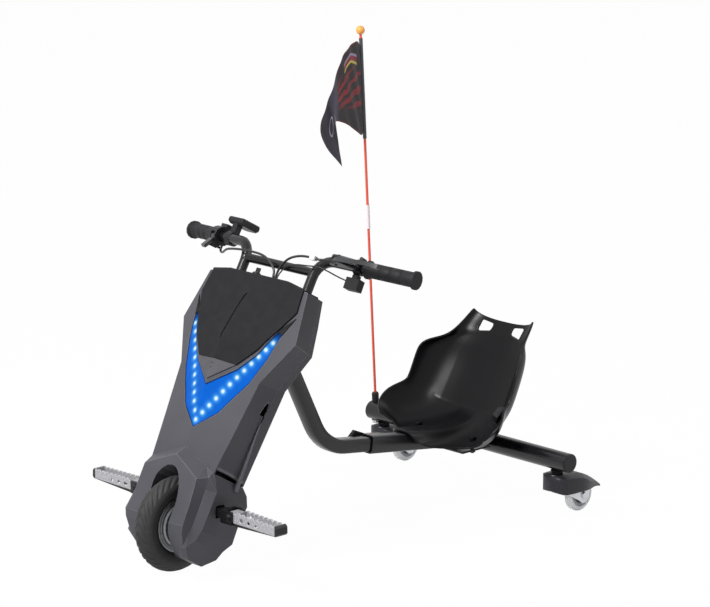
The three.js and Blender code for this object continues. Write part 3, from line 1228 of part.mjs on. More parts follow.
// The pennant's two long edges, as shares of its hoist: out from the pole, down from the top, and sideways
const flagTopShares = [[0, 0, 0], [0.134, 0.024, 0.031], [0.253, 0.104, 0.040], [0.324, 0.242, 0.022],
  [0.335, 0.383, -0.017], [0.377, 0.519, -0.053], [0.437, 0.681, -0.084], [0.489, 0.834, -0.102],
  [0.458, 0.940, -0.107], [0.344, 1.111, -0.110], [0.200, 1.254, -0.115]];
const flagBottomShares = [[0, 1.0, 0], [0.115, 0.903, 0.031], [0.239, 0.810, 0.040], [0.328, 0.767, 0.022],
  [0.344, 0.765, -0.017], [0.307, 0.810, -0.053], [0.270, 0.901, -0.084], [0.239, 1.009, -0.102],
  [0.227, 1.092, -0.107], [0.207, 1.177, -0.110], [0.192, 1.268, -0.115]];

function makeFlag() {
  const thickness = 1.2;
  const top = poleLength - 14;
  const rows = 5;
  const start = poleRadius + seat;
  const point = (i, j) => {
    const [a, b] = [flagTopShares[i], flagBottomShares[i]];
    const mix = a.map((value, k) => flagHoist * (value + ((b[k] - value) * j) / (rows - 1)));
    return V(mix[2], -start - thickness / 2 - mix[0], top - mix[1]);
  };
  const rings = flagTopShares.map((_, i) => {
    const edge = (shift) => Array.from({ length: rows }, (__, j) => point(i, j).add(V(shift, 0, 0)));
    return [...edge(thickness / 2), ...edge(-thickness / 2).reverse()];
  });
  const hem = turned('z', [[start, top - flagHoist], [start + thickness, top - flagHoist],
    [start + thickness, top], [start, top], [start, top - flagHoist]], 12);
  place(flagFrame, 'flag', hem.add(loft(rings)), cloth);
}

// The stud that comes down out of the beam under the pole, with its washer and nut
function makeFlagStud() {
  const { radius, nutRadius, nut, washerRadius, washer, rise } = flagStud;
  const under = beamHeight - beamRadius - seat;
  const low = under - washer - nut - 1;
  const at = (up) => V(-flagHalfSpan, beamBack, up);
  place(object, 'flag_stud', joined(barAt('z', radius, rise, at(low + rise / 2), 12),
    barAt('z', washerRadius, washer, at(under - washer / 2), 16),
    barAt('z', nutRadius, nut, at(under - washer - nut / 2), 6)), steel);
}

makeCovers();
makeHood();
makeLight();
makeFairing();
makeFork();
makeWheel();
makeHandlebar();
sides.forEach(makeGrip);
makeThrottle();
makeDisplay();
makeBrake();
makeSwitch();
sides.forEach(makePeg);
makeInside();
makeKeySwitch();
makeHeadTube();
makeMainTube();
makeSleeve();
makeLever();
makeBeam();
makeSeat();
sides.forEach(makeSeatBolt);
makeSeatCatch();
sides.forEach(makeCaster);
makeFlagPole();
makeFlag();
makeFlagStud();
makeLeads();

export default object;
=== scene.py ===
import json
import math

import bpy
from mathutils import Matrix, Vector
from mathutils.bvhtree import BVHTree

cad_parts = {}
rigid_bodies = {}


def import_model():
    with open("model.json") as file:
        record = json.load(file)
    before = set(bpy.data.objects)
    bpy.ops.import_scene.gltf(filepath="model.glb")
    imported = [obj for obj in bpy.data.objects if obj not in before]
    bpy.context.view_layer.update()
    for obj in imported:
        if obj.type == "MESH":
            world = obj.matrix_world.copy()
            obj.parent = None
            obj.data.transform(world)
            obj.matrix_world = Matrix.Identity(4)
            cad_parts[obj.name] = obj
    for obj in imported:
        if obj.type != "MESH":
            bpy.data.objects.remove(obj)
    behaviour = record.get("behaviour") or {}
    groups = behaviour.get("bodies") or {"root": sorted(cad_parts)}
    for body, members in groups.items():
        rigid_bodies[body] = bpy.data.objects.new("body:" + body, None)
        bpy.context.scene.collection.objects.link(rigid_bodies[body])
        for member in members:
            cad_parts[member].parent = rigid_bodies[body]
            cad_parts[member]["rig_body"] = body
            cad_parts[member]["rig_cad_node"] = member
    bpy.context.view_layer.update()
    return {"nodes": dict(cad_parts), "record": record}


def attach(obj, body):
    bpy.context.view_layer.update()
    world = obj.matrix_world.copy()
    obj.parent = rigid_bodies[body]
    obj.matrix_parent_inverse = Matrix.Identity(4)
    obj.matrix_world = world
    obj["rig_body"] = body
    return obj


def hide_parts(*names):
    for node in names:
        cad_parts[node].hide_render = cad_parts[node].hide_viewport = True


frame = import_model()

# The camera stands off the trike's left front corner, about two metres up and nearly seven metres away,
# with a long lens, so that the trike's lines stay almost parallel.
camera_turn = math.radians(46.9)
camera_rise = math.radians(13.1)
camera_distance = 6.766
camera_aim = Vector((0, 0.0605, 0.480))
camera_away = Vector((
    math.sin(camera_turn) * math.cos(camera_rise),
    -math.cos(camera_turn) * math.cos(camera_rise),
    math.sin(camera_rise),
))
bpy.ops.object.camera_add(location=camera_aim + camera_away * camera_distance)
camera = bpy.context.object
camera.rotation_euler = (-camera_away).to_track_quat("-Z", "Y").to_euler()
camera.data.sensor_width = 36
camera.data.lens = 162.25
bpy.context.scene.camera = camera

# The three leads: the throttle's and the brake's in 5 mm black sheath, the push button's in 3 mm.
# Each is clipped at the bar and goes back into the body through the hole in its top.
# Their routes are in millimetres from the foot of the raked steering axis.
rake = math.radians(29)
steering_foot = (0, -0.4585, 0.1)
steered_place = Matrix.Translation(steering_foot) @ Matrix.Rotation(-rake, 4, "X")
lead_routes = {
    "throttle": (0.0025, [
        (-223, 58, 601), (-222, 58, 590), (-203, 48, 584), (-150, 14, 588), (-80, 6, 592), (-30, 9, 588),
        (5, 13, 566), (9.5, 14, 545), (10, 8, 522), (10, 3, 495), (10, 2, 440), (10, 2, 392),
    ]),
    "brake": (0.0025, [
        (158, 7, 611), (138, -8, 604), (110, -12, 604), (75, -6, 601), (42, 4, 592), (20, 12, 572),
        (15.5, 14, 545), (15.5, 8, 522), (17, 3, 495), (17, 2, 440), (17, 2, 392),
    ]),
    "switch": (0.0015, [
        (192, 46, 584), (172, 36, 586), (135, 10, 592), (100, 6, 589), (60, 10, 586), (34, 14, 578),
        (22, 15, 560), (21, 14, 545), (21.5, 8, 522), (24, 2, 495), (24, 2, 440), (24, 2, 392),
    ]),
}


def lead_line(points, steps=4):
    """The smooth line that a lead takes through its route's points."""
    ends = [2 * points[0] - points[1], *points, 2 * points[-1] - points[-2]]
    line = []
    for a, b, c, d in zip(ends, ends[1:], ends[2:], ends[3:]):
        one, two, three = ((q - p).length ** 0.5 for p, q in ((a, b), (b, c), (c, d)))
        leave = ((b - a) / one - (c - a) / (one + two) + (c - b) / two) * two
        arrive = ((c - b) / two - (d - b) / (two + three) + (d - c) / three) * two
        for k in range(steps):
            t = k / steps
            line.append(
                b + leave * t + (3 * (c - b) - 2 * leave - arrive) * t ** 2
                + (2 * (b - c) + leave + arrive) * t ** 3
            )
    return [*line, points[-1]]


def alone(piece):
    """Makes the piece the only one that is selected, and the active one."""
    bpy.ops.object.select_all(action="DESELECT")
    piece.select_set(True)
    bpy.context.view_layer.objects.active = piece


lead_pieces = {}
for lead, (lead_radius, route) in lead_routes.items():
    line = lead_line([steered_place @ (Vector(p) / 1000) for p in route])
    sheath = bpy.data.curves.new(f"{lead}_sheath", "CURVE")
    sheath.dimensions = "3D"
    sheath.bevel_depth = lead_radius
    sheath.bevel_resolution = 4
    sheath.use_fill_caps = True
    spline = sheath.splines.new("POLY")
    spline.points.add(len(line) - 1)
    for point, place in zip(spline.points, line):
        point.co = (*place, 1)
    piece = bpy.data.objects.new(f"{lead}_sheath", sheath)
    bpy.context.scene.collection.objects.link(piece)
    alone(piece)
    bpy.ops.object.convert(target="MESH")
    piece = bpy.context.object
    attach(piece, "steering_assembly")
    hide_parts(f"{lead}_lead")
    lead_pieces[lead] = piece

# The studio: a white floor in white surroundings, a large soft light high in front, and a weaker one
# behind on the rider's left, so that black plastic shows its faces.


def wire(tree, kind, inputs, **settings):
    """One shader node, with its sockets filled or joined."""
    node = tree.nodes.new("ShaderNode" + kind)
    for key, value in settings.items():
        setattr(node, key, value)
    for key, value in inputs.items():
        if isinstance(value, bpy.types.NodeSocket):
            tree.links.new(value, node.inputs[key])
        else:
            node.inputs[key].default_value = value
    return node


def larger(tree, a, b):
    return wire(tree, "Math", {0: a, 1: b}, operation="MAXIMUM").outputs[0]


floor_size, floor_glow_share = 30, 0.98
bpy.ops.mesh.primitive_plane_add(size=floor_size)
floor = bpy.context.object
floor.name = "studio_floor"
floor_paint = bpy.data.materials.new("studio_floor")
floor_paint.use_nodes = True
floor_tree = floor_paint.node_tree
floor_shader = floor_tree.nodes["Principled BSDF"]
floor_shader.inputs["Base Color"].default_value = (0.8, 0.8, 0.8, 1)
floor_shader.inputs["Roughness"].default_value = 0.9
floor_rays = wire(floor_tree, "LightPath", {}).outputs
floor_seen = larger(floor_tree, floor_rays["Is Camera Ray"], floor_rays["Is Glossy Ray"])
floor_share = wire(floor_tree, "Math", {0: floor_seen, 1: floor_glow_share}, operation="MULTIPLY").outputs[0]
floor_glow = wire(floor_tree, "Emission", {}).outputs[0]
floor_mix = wire(floor_tree, "MixShader", {0: floor_share, 1: floor_shader.outputs[0], 2: floor_glow})
floor_tree.links.new(floor_mix.outputs[0], floor_tree.nodes["Material Output"].inputs["Surface"])
floor.data.materials.append(floor_paint)

world_level_on_faces, world_level_seen = 0.2, 1
world = bpy.data.worlds.new("studio")
bpy.context.scene.world = world
world.use_nodes = True
world_tree = world.node_tree
world_light = world_tree.nodes["Background"]
world_light.inputs["Color"].default_value = (1, 1, 1, 1)
world_rays = wire(world_tree, "LightPath", {}).outputs
world_seen = larger(world_tree, world_rays["Is Camera Ray"], world_rays["Is Glossy Ray"])
world_clear = larger(world_tree, world_seen, world_rays["Is Transmission Ray"])
world_level = wire(world_tree, "MapRange", {"Value": world_clear, "To Min": world_level_on_faces,
                                            "To Max": world_level_seen}).outputs[0]
world_tree.links.new(world_level, world_light.inputs["Strength"])

lamps_aim = Vector((0, 0, 0.4))
for lamp_name, lamp_at, lamp_size, lamp_power in (
    ("front_light", (-0.2, -3.7, 4.6), 1.6, 400),
    ("rear_light", (2.6, 2.8, 3.2), 2.0, 45),
):
    bpy.ops.object.light_add(type="AREA", location=lamp_at)
    lamp = bpy.context.object
    lamp.name = lamp_name
    lamp.data.size = lamp_size
    lamp.data.energy = lamp_power
    lamp.rotation_euler = (lamps_aim - Vector(lamp_at)).to_track_quat("-Z", "Y").to_euler()

bpy.context.scene.view_settings.view_transform = "Standard"

# The body's covers and wheel fairing: black polypropylene from the mould, matt with a spark grain, with a
# painted highlight along the edges. The covers are screwed together along the seam and hung on the yokes.
body_of = {node: body for body, nodes in frame["record"]["behaviour"]["bodies"].items() for node in nodes}


def tone(code, share=1.0):
    """A colour written as on a paint card, made linear, at a share of its light."""
    parts = (int(code[k:k + 2], 16) / 255 for k in (0, 2, 4))
    return (*(min(1, share * ((c + 0.055) / 1.055) ** 2.4) for c in parts), 1)


def finish(name, code, roughness, cloud=0.12, patch=12, grain=1500, relief=0.1, edge=0.0015, edge_highlight=0.25,
           metal=0.0, specular=0.5, coat=0.0, streak=(1, 1, 1)):
    """A finish with cloudy colour, a fine grain in gloss and relief, and softened edges with a painted
    highlight along them.
    """
    nearly_flat, well_turned, gloss_swing, grain_height = 0.995, 0.95, 0.08, 0.0003
    # The two tones of the painted highlight along edges.
    highlight_dim, highlight_bright = 1.6, 4.5
    material = bpy.data.materials.new(name)
    material.use_nodes = True
    tree = material.node_tree
    shader = tree.nodes["Principled BSDF"]
    shader.inputs["Metallic"].default_value = metal
    shader.inputs["Specular IOR Level"].default_value = specular
    shader.inputs["Coat Weight"].default_value = coat
    shader.inputs["Coat Roughness"].default_value = 0.15
    spot = wire(tree, "TexCoord", {}).outputs["Object"]
    drawn = wire(tree, "Mapping", {"Vector": spot, "Scale": streak}).outputs[0]
    clouds = wire(tree, "TexNoise", {"Vector": drawn, "Scale": patch, "Detail": 4}).outputs[0]
    fine = wire(tree, "TexNoise", {"Vector": drawn, "Scale": grain, "Detail": 2}).outputs[0]
    base = wire(tree, "Mix", {0: clouds, 6: tone(code, 1 - 2 * cloud), 7: tone(code, 1 + 2 * cloud)},
                data_type="RGBA").outputs[2]
    eased = wire(tree, "Bevel", {"Radius": edge}, samples=4).outputs[0]
    face = wire(tree, "NewGeometry", {}).outputs["Normal"]
    meeting = wire(tree, "VectorMath", {0: eased, 1: face}, operation="DOT_PRODUCT").outputs["Value"]
    # Painted highlight: the colour turns paler along edges, where the eased normal leaves the face's.
    highlight_share = wire(tree, "MapRange", {"Value": meeting, "From Min": nearly_flat, "From Max": well_turned,
                                     "To Min": 0, "To Max": edge_highlight}).outputs[0]
    lighter = wire(tree, "Mix", {0: clouds, 6: tone(code, highlight_dim), 7: tone(code, highlight_bright)},
                   data_type="RGBA").outputs[2]
    with_highlight = wire(tree, "Mix", {0: highlight_share, 6: base, 7: lighter}, data_type="RGBA").outputs[2]
    sheen = wire(tree, "MapRange", {"Value": fine, "To Min": roughness - gloss_swing,
                                    "To Max": roughness + gloss_swing}).outputs[0]
    bump = wire(tree, "Bump", {"Strength": relief, "Distance": grain_height, "Height": fine,
                               "Normal": eased}).outputs[0]
    tree.links.new(with_highlight, shader.inputs["Base Color"])
    tree.links.new(sheen, shader.inputs["Roughness"])
    tree.links.new(bump, shader.inputs["Normal"])
    return material


def in_edit_mode(piece, *steps):
    """Takes the piece alone into edit mode, all of it selected, and runs the steps."""
    alone(piece)
    bpy.ops.object.mode_set(mode="EDIT")
    bpy.ops.mesh.select_all(action="SELECT")
    for step in steps:
        step()
    bpy.ops.object.mode_set(mode="OBJECT")


def fixed_by(piece, kind, **settings):
    """Gives the piece a modifier and applies it at once."""
    alone(piece)
    modifier = piece.modifiers.new(kind.lower(), kind)
    for key, value in settings.items():
        setattr(modifier, key, value)
    bpy.ops.object.modifier_apply(modifier=modifier.name)


def smooth_by_angle(piece, degrees=32):
    alone(piece)
    bpy.ops.object.shade_smooth_by_angle(angle=math.radians(degrees))


def eased_copy(node, material, edge=0.0, sharp=32, joined=0.5):
    """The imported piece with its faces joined, its round faces smooth and its sharp edges eased."""
    piece = frame["nodes"][node].copy()
    piece.data = frame["nodes"][node].data.copy()
    piece.parent = None
    piece.name = f"{node}_finished"
    piece.data.name = piece.name
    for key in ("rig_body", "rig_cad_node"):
        del piece[key]
    bpy.context.scene.collection.objects.link(piece)
    in_edit_mode(
        piece,
        bpy.ops.mesh.customdata_custom_splitnormals_clear,
        lambda: bpy.ops.mesh.remove_doubles(threshold=1e-5),
        lambda: bpy.ops.mesh.dissolve_limited(angle_limit=math.radians(joined)),
    )
    if edge:
        fixed_by(piece, "BEVEL", width=edge, segments=2, limit_method="ANGLE",
                 angle_limit=math.radians(20), use_clamp_overlap=True)
    smooth_by_angle(piece, sharp)
    piece.data.materials.clear()
    piece.data.materials.append(material)
    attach(piece, body_of[node])
    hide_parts(node)
    return piece


shell_plastic = finish("shell_plastic", "4b4b50", 0.45, cloud=0.1, patch=9, grain=900, relief=0.2,
                       edge=0.002, edge_highlight=0.8, specular=0.12)
shells = {
    node: eased_copy(node, shell_plastic, sharp=12, joined=0.05)
    for node in ("front_cover", "rear_cover", "wheel_fairing")
}
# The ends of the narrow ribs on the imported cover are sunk, because wider ribs stand over them.
to_steered = steered_place.inverted()
narrow_rib_ends, narrow_rib_front, narrow_rib_back = (0.3024, 0.1458), 0.0303, 0.0343
end_reach, end_sink = 0.0012, 0.005
for vertex in shells["front_cover"].data.vertices:
    local = to_steered @ vertex.co
    from_end = min(abs(local.z - rib_end) for rib_end in narrow_rib_ends)
    if narrow_rib_front < local.y < narrow_rib_back and from_end < end_reach:
        vertex.co.x -= math.copysign(end_sink, vertex.co.x)

# The flank ribs: one tapering rib on each side, moulded across the seam, painted paler than the covers'
# plastic as a painted highlight. It is wide at the foot, pointed at the top, with painted highlights on its
# edges.
rib_highlight_plastic = finish("rib_highlight_plastic", "5c5c62", 0.4, cloud=0.1, patch=20, grain=900, relief=0.15, edge=0.0012,
                     edge_highlight=1.0, specular=0.3)
rib_top, rib_bottom = Vector((0.1130, 0.0300, 0.2700)), Vector((0.0975, 0.0490, 0.1100))
rib_foot_width, rib_foot_rise, rib_point_width, rib_point_rise = 0.0085, 0.0036, 0.0012, 0.0006
for side in (1, -1):
    bpy.ops.mesh.primitive_cube_add(size=1)
    rib = bpy.context.object
    rib.name = "flank_rib_left" if side > 0 else "flank_rib_right"
    for vertex in rib.data.vertices:
        along, across, out = vertex.co.z + 0.5, vertex.co.y, vertex.co.x
        at_foot = along < 0.5
        width = rib_foot_width if at_foot else rib_point_width
        rise = rib_foot_rise if at_foot else rib_point_rise
        place = rib_bottom.lerp(rib_top, along) + Vector((out * 2 * rise, across * width, 0))
        vertex.co = steered_place @ Vector((side * place.x, place.y, place.z))
    in_edit_mode(rib, lambda: bpy.ops.mesh.normals_make_consistent(inside=False))
    fixed_by(rib, "BEVEL", width=0.0005, segments=2, use_clamp_overlap=True)
    smooth_by_angle(rib)
    rib.data.materials.append(rib_highlight_plastic)
    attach(rib, "steering_assembly")

# The hood between the arms of the light: the same plastic with a coarser, duller grain, and a lighter
# grey tip. Both are clipped on the front cover.
hood_plastic = finish("hood_plastic", "1d1d20", 0.75, cloud=0.2, patch=45, grain=500, relief=0.35, edge=0.002,
                      edge_highlight=0.5, specular=0.15)
eased_copy("hood_panel", hood_plastic, sharp=12)
tip_plastic = finish("tip_plastic", "4c4c50", 0.55, cloud=0.12, patch=30, grain=700, relief=0.2, edge_highlight=0.3,
                     specular=0.2)
eased_copy("hood_tip", tip_plastic, sharp=12)

# The V light: a blue diffuser let into the cover, lit from behind by a board of eleven lamps an arm and
# one at the tip. Each lamp shows as a white spot with a pale ring, the border is dark, and the arms fade
# towards their ends.
lamps_per_arm = 11
lamp_tip, lamp_end = Vector((0, 219)), Vector((121, 413))
lamp_places = [lamp_tip.lerp(lamp_end, k / lamps_per_arm) for k in range(lamps_per_arm + 1)]
lamp_spots = [Vector((side * x, up)) / 1000 for x, up in lamp_places for side in (1, -1)]
fade_from, fade_to = 0.405, 0.444
spot_core, spot_ring, core_flat, core_part, border_power = 0.0056, 0.0078, 1.3, 0.5, 1.5

lens_glow = bpy.data.materials.new("light_lens")
lens_glow.use_nodes = True
lens_tree = lens_glow.node_tree
lens_shader = lens_tree.nodes["Principled BSDF"]
lens_shader.inputs["Roughness"].default_value = 0.3
lens_shader.inputs["Specular IOR Level"].default_value = 0.02
lens_spot = wire(lens_tree, "Attribute", {}, attribute_name="lamp").outputs["Fac"]
lens_fade = wire(lens_tree, "Attribute", {}, attribute_name="fade").outputs["Fac"]
lens_ramp = wire(lens_tree, "ValToRGB", {"Fac": lens_spot})
lens_ramp.color_ramp.elements[0].position = 0.0
lens_ramp.color_ramp.elements[0].color = tone("0a66d4")
lens_ramp.color_ramp.elements[1].position = 0.95
lens_ramp.color_ramp.elements[1].color = tone("f4ffff")
lens_middle = lens_ramp.color_ramp.elements.new(0.5)
lens_middle.color = tone("58b4f6")
lens_place = wire(lens_tree, "TexCoord", {}).outputs["Object"]
lens_mottle = wire(lens_tree, "TexNoise", {"Vector": lens_place, "Scale": 30, "Detail": 2}).outputs[0]
lens_even = wire(lens_tree, "MapRange", {"Value": lens_mottle, "To Min": 0.85, "To Max": 1.15}).outputs[0]
lens_power = wire(lens_tree, "Math", {0: lens_fade, 1: lens_even}, operation="MULTIPLY").outputs[0]
lens_shader.inputs["Base Color"].default_value = tone("02102c")
lens_tree.links.new(lens_ramp.outputs["Color"], lens_shader.inputs["Emission Color"])
lens_tree.links.new(lens_power, lens_shader.inputs["Emission Strength"])

# The lens is cut finely enough for the spots to be written on its points.
lens = eased_copy("v_lens", lens_glow, sharp=12)
lens_longest_edge, lens_cuts = 0.0022, 7
for _ in range(lens_cuts):
    in_edit_mode(lens, lambda: bpy.ops.mesh.quads_convert_to_tris())
    bpy.ops.object.mode_set(mode="EDIT")
    bpy.ops.mesh.select_mode(type="EDGE")
    bpy.ops.mesh.select_all(action="DESELECT")
    bpy.ops.object.mode_set(mode="OBJECT")
    long_edges = 0
    for edge in lens.data.edges:
        a, b = (lens.data.vertices[k].co for k in edge.vertices)
        edge.select = (a - b).length > lens_longest_edge
        long_edges += edge.select
    if not long_edges:
        break
    bpy.ops.object.mode_set(mode="EDIT")
    bpy.ops.mesh.subdivide(number_cuts=1)
    bpy.ops.object.mode_set(mode="OBJECT")
lamp_share = lens.data.attributes.new("lamp", "FLOAT", "POINT")
fade_share = lens.data.attributes.new("fade", "FLOAT", "POINT")
# The lens's outline is given in shares of the cover's half width and height.
cover_half, cover_top, lens_border = 0.174, 0.540, 0.0035
lens_outer = [(0, 0.374), (0.30, 0.455), (0.575, 0.594), (0.70, 0.700), (0.776, 0.800)]
lens_inner = [(0.707, 0.813), (0.54, 0.705), (0.345, 0.630), (0, 0.546)]
lens_edges = [
    (Vector((a[0] * cover_half, a[1] * cover_top)), Vector((b[0] * cover_half, b[1] * cover_top)))
    for line in (lens_outer, lens_inner) for a, b in zip(line, line[1:])
]
for k, vertex in enumerate(lens.data.vertices):
    local = to_steered @ vertex.co
    here = Vector((local.x, local.z))
    away = min((here - spot).length for spot in lamp_spots)
    core = max(0, min(1, core_flat - away / spot_core))
    ring = math.exp(-(away / spot_ring) ** 2)
    lamp_share.data[k].value = core_part * core + (1 - core_part) * ring
    rest = min(1, max(0, (fade_to - here.y) / (fade_to - fade_from)))
    inward = 1.0
    for a, b in lens_edges:
        spot = Vector((abs(here.x), here.y))
        along = max(0, min(1, (spot - a).dot(b - a) / (b - a).length_squared))
        inward = min(inward, (spot - a.lerp(b, along)).length)
    inside = min(1, (inward / lens_border) ** border_power)
    fade_share.data[k].value = rest * rest * (3 - 2 * rest) * inside

# The light's tips: a short unlit end piece of dark plastic on each arm, bent to the cover's face and
# clipped on it.
tip_gloss = finish("tip_gloss", "0b0b0d", 0.4, cloud=0.1, patch=40, grain=900, relief=0.08, edge_highlight=0.1,
                   specular=0.12)
tip_low, tip_far, tip_high = Vector((0.776, 0.800)), Vector((0.868, 0.880)), Vector((0.707, 0.813))
tip_blunt, tip_thick, tip_rise, well_ahead = 0.96, 0.0016, 0.0009, -0.3
cover_mesh = frame["nodes"]["front_cover"].data
cover_face = BVHTree.FromPolygons([v.co for v in cover_mesh.vertices],
                                  [f.vertices for f in cover_mesh.polygons])
backward = (steered_place.to_3x3() @ Vector((0, 1, 0))).normalized()
for side in (1, -1):
    bpy.ops.mesh.primitive_grid_add(x_subdivisions=12, y_subdivisions=4, size=1)
    tip = bpy.context.object
    tip.name = "light_tip_left" if side > 0 else "light_tip_right"
    for vertex in tip.data.vertices:
        out, over = vertex.co.x + 0.5, vertex.co.y + 0.5
        place = tip_low.lerp(tip_high, over).lerp(tip_far, out * tip_blunt)
        start = steered_place @ Vector((side * place.x * cover_half, well_ahead, place.y * cover_top))
        vertex.co = cover_face.ray_cast(start, backward)[0] - backward * tip_rise
    in_edit_mode(tip, lambda: bpy.ops.mesh.normals_make_consistent(inside=False))
    fixed_by(tip, "SOLIDIFY", thickness=tip_thick, offset=0)
    smooth_by_angle(tip)
    tip.data.materials.append(tip_gloss)
    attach(tip, "steering_assembly")

# The lamp board: a plate in white lacquer, fixed behind the lens. It hardly shows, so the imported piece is
# kept and only coloured.
board_paint = finish("board_paint", "d8dde4", 0.4, cloud=0.05)
frame["nodes"]["light_board"].data.materials.clear()
frame["nodes"]["light_board"].data.materials.append(board_paint)

# The fork, its upper yoke, the bent bar and the crossbar: welded steel in gloss black powder coat.
gloss_paint = finish("gloss_paint", "121215", 0.28, cloud=0.1, patch=20, grain=700, relief=0.12, edge=0.0012,
                     edge_highlight=0.12, specular=0.3, coat=0.1)
for node in ("fork", "upper_yoke", "handlebar"):
    eased_copy(node, gloss_paint)

# The front tyre: solid black rubber with a chevron tread all the way round and faint ribs on its side
# walls. It is pressed on the motor's cast drum, whose axle is nutted in the fork.
wheel_centre = Vector((0, -0.4405, 0.1))
tyre_radius, tube_radius, bead_radius = 0.1, 0.023, 0.058
round_steps, across_steps, tread_steps = 416, 56, 8
tread_slant, tread_depth, tread_edge = 0.62, 0.0019, 1.02
tread_cuts, tread_stretch = {0: 1.0, 1: 1.0, 2: 0.5, 7: 0.5}, 2.2
edge_run_out, middle_run_out = 0.12, 0.07
groove_from, groove_to, groove_depth = 0.34, 0.42, 0.8 * tread_depth
wall_marks_to, wall_mark_every, wall_mark_depth = 1.45, 4, 0.0006
wall_ends, bead_narrowing = 1.6, 0.97
bpy.ops.mesh.primitive_torus_add(
    major_radius=tyre_radius - tube_radius, minor_radius=tube_radius,
    major_segments=round_steps, minor_segments=across_steps,
)
tyre = bpy.context.object
tyre.name = "front_tyre_rubber"
for k, vertex in enumerate(tyre.data.vertices):
    x, y, z = vertex.co
    turn = math.atan2(y, x)
    out = math.hypot(x, y) - (tyre_radius - tube_radius)
    lean = math.atan2(z, out)
    step = k // across_steps
    reach = abs(lean)
    carve = 0.0
    if reach < tread_edge:
        shape = min(1, (tread_edge - reach) / edge_run_out) * min(1, reach / middle_run_out)
        cut = tread_cuts.get(step % tread_steps, 0.0)
        carve = tread_depth * cut * shape
        if groove_from < reach < groove_to:
            carve = max(carve, groove_depth)
    elif reach < wall_marks_to and step % wall_mark_every == 0:
        carve = wall_mark_depth
    turn += tread_slant * min(reach, tread_edge) * tube_radius / tyre_radius * tread_stretch
    radius = tube_radius - carve
    swell = 1.0 if reach < wall_ends else bead_narrowing
    level = max(bead_radius, tyre_radius - tube_radius + radius * math.cos(lean))
    vertex.co = (radius * swell * math.sin(lean), -level * math.sin(turn), level * math.cos(turn))
in_edit_mode(
    tyre,
    lambda: bpy.ops.mesh.remove_doubles(threshold=1e-5),
    lambda: bpy.ops.mesh.normals_make_consistent(inside=False),
)
tyre.data.transform(Matrix.Translation(wheel_centre))
smooth_by_angle(tyre, 40)
tyre_rubber = finish("tyre_rubber", "29292a", 0.68, cloud=0.22, patch=40, grain=1100, relief=0.3, edge=0.0006,
                     edge_highlight=0.8, specular=0.4)
tyre.data.materials.append(tyre_rubber)
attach(tyre, "front_wheel")
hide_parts("front_tyre")
cast_metal = finish("cast_metal", "8c8d90", 0.42, cloud=0.25, patch=260, grain=900, relief=0.5, metal=0.85,
                    edge_highlight=0.3)
eased_copy("motor_hub", cast_metal, edge=0.0006)
zinc = finish("zinc", "c4c6c9", 0.28, cloud=0.12, patch=60, grain=1200, relief=0.08, metal=1.0, edge_highlight=0.2)
eased_copy("motor_axle", zinc)

# The grips: black rubber sleeves with rings moulded in, pushed on the bar's ends.
grip_rubber = finish("grip_rubber", "1e1e20", 0.6, cloud=0.12, patch=60, grain=420, relief=0.5, edge=0.001,
                     edge_highlight=0.3, specular=0.2)
for node in ("grip_left", "grip_right"):
    eased_copy(node, grip_rubber, sharp=50)

# The bar's fittings: throttle, display, brake perch and switch box in black nylon, each clamped round the
# tube, with a cast thumb paddle, a black lever and red buttons. The key is black nylon too, and the plug on
# the brake's lead is white.
nylon = finish("nylon", "1b1b1e", 0.42, cloud=0.12, patch=60, grain=800, relief=0.2, edge=0.0012, edge_highlight=0.35,
               specular=0.25)
for node in ("throttle_housing", "display", "brake_perch", "key_switch"):
    eased_copy(node, nylon)
switch_nylon = finish("switch_nylon", "121214", 0.5, cloud=0.12, patch=60, grain=800, relief=0.2, edge=0.0012,
                      edge_highlight=0.25, specular=0.15)
eased_copy("switch_box", switch_nylon)
lever_paint = finish("lever_paint", "1a1b1d", 0.3, cloud=0.1, patch=50, grain=700, relief=0.15, edge_highlight=0.4,
                     coat=0.3)
for node in ("throttle_paddle", "brake_lever"):
    eased_copy(node, lever_paint)
button_red = finish("button_red", "9c2018", 0.35, cloud=0.08, patch=90, grain=900, relief=0.1, edge_highlight=0.3)
for node in ("switch_button", "display_button"):
    eased_copy(node, button_red)
eased_copy("key", nylon)
connector_white = finish("connector_white", "e4e6e8", 0.4, cloud=0.05, patch=120, grain=900, relief=0.1,
                         edge_highlight=0.1)
connector = frame["nodes"]["lead_connector"]
connector.data.materials.clear()
connector.data.materials.append(connector_white)
sheath_rubber = finish("sheath_rubber", "161617", 0.42, cloud=0.12, patch=50, grain=900, relief=0.15,
                       edge_highlight=0.1)
for piece in lead_pieces.values():
    piece.data.materials.append(sheath_rubber)

# The foot pegs: a cast cage with teeth on top, folding on a pin in a black steel bracket. Its outer end and
# its underside are black.


def coordinates(tree):
    """The three coordinates of a point of the piece."""
    return wire(tree, "SeparateXYZ", {0: wire(tree, "TexCoord", {}).outputs["Object"]}).outputs


def rising(tree, value, start, full):
    """A share that goes from nothing at the start to all where it is full."""
    return wire(tree, "MapRange", {"Value": value, "From Min": start, "From Max": full}).outputs[0]


def painted_over(material, share, code):
    """Lays a second colour over a finish, as far as the share says."""
    tree = material.node_tree
    shader = tree.nodes["Principled BSDF"]
    bare = shader.inputs["Base Color"].links[0].from_socket
    colour = wire(tree, "Mix", {0: share, 6: bare, 7: tone(code)}, data_type="RGBA").outputs[2]
    tree.links.new(colour, shader.inputs["Base Color"])


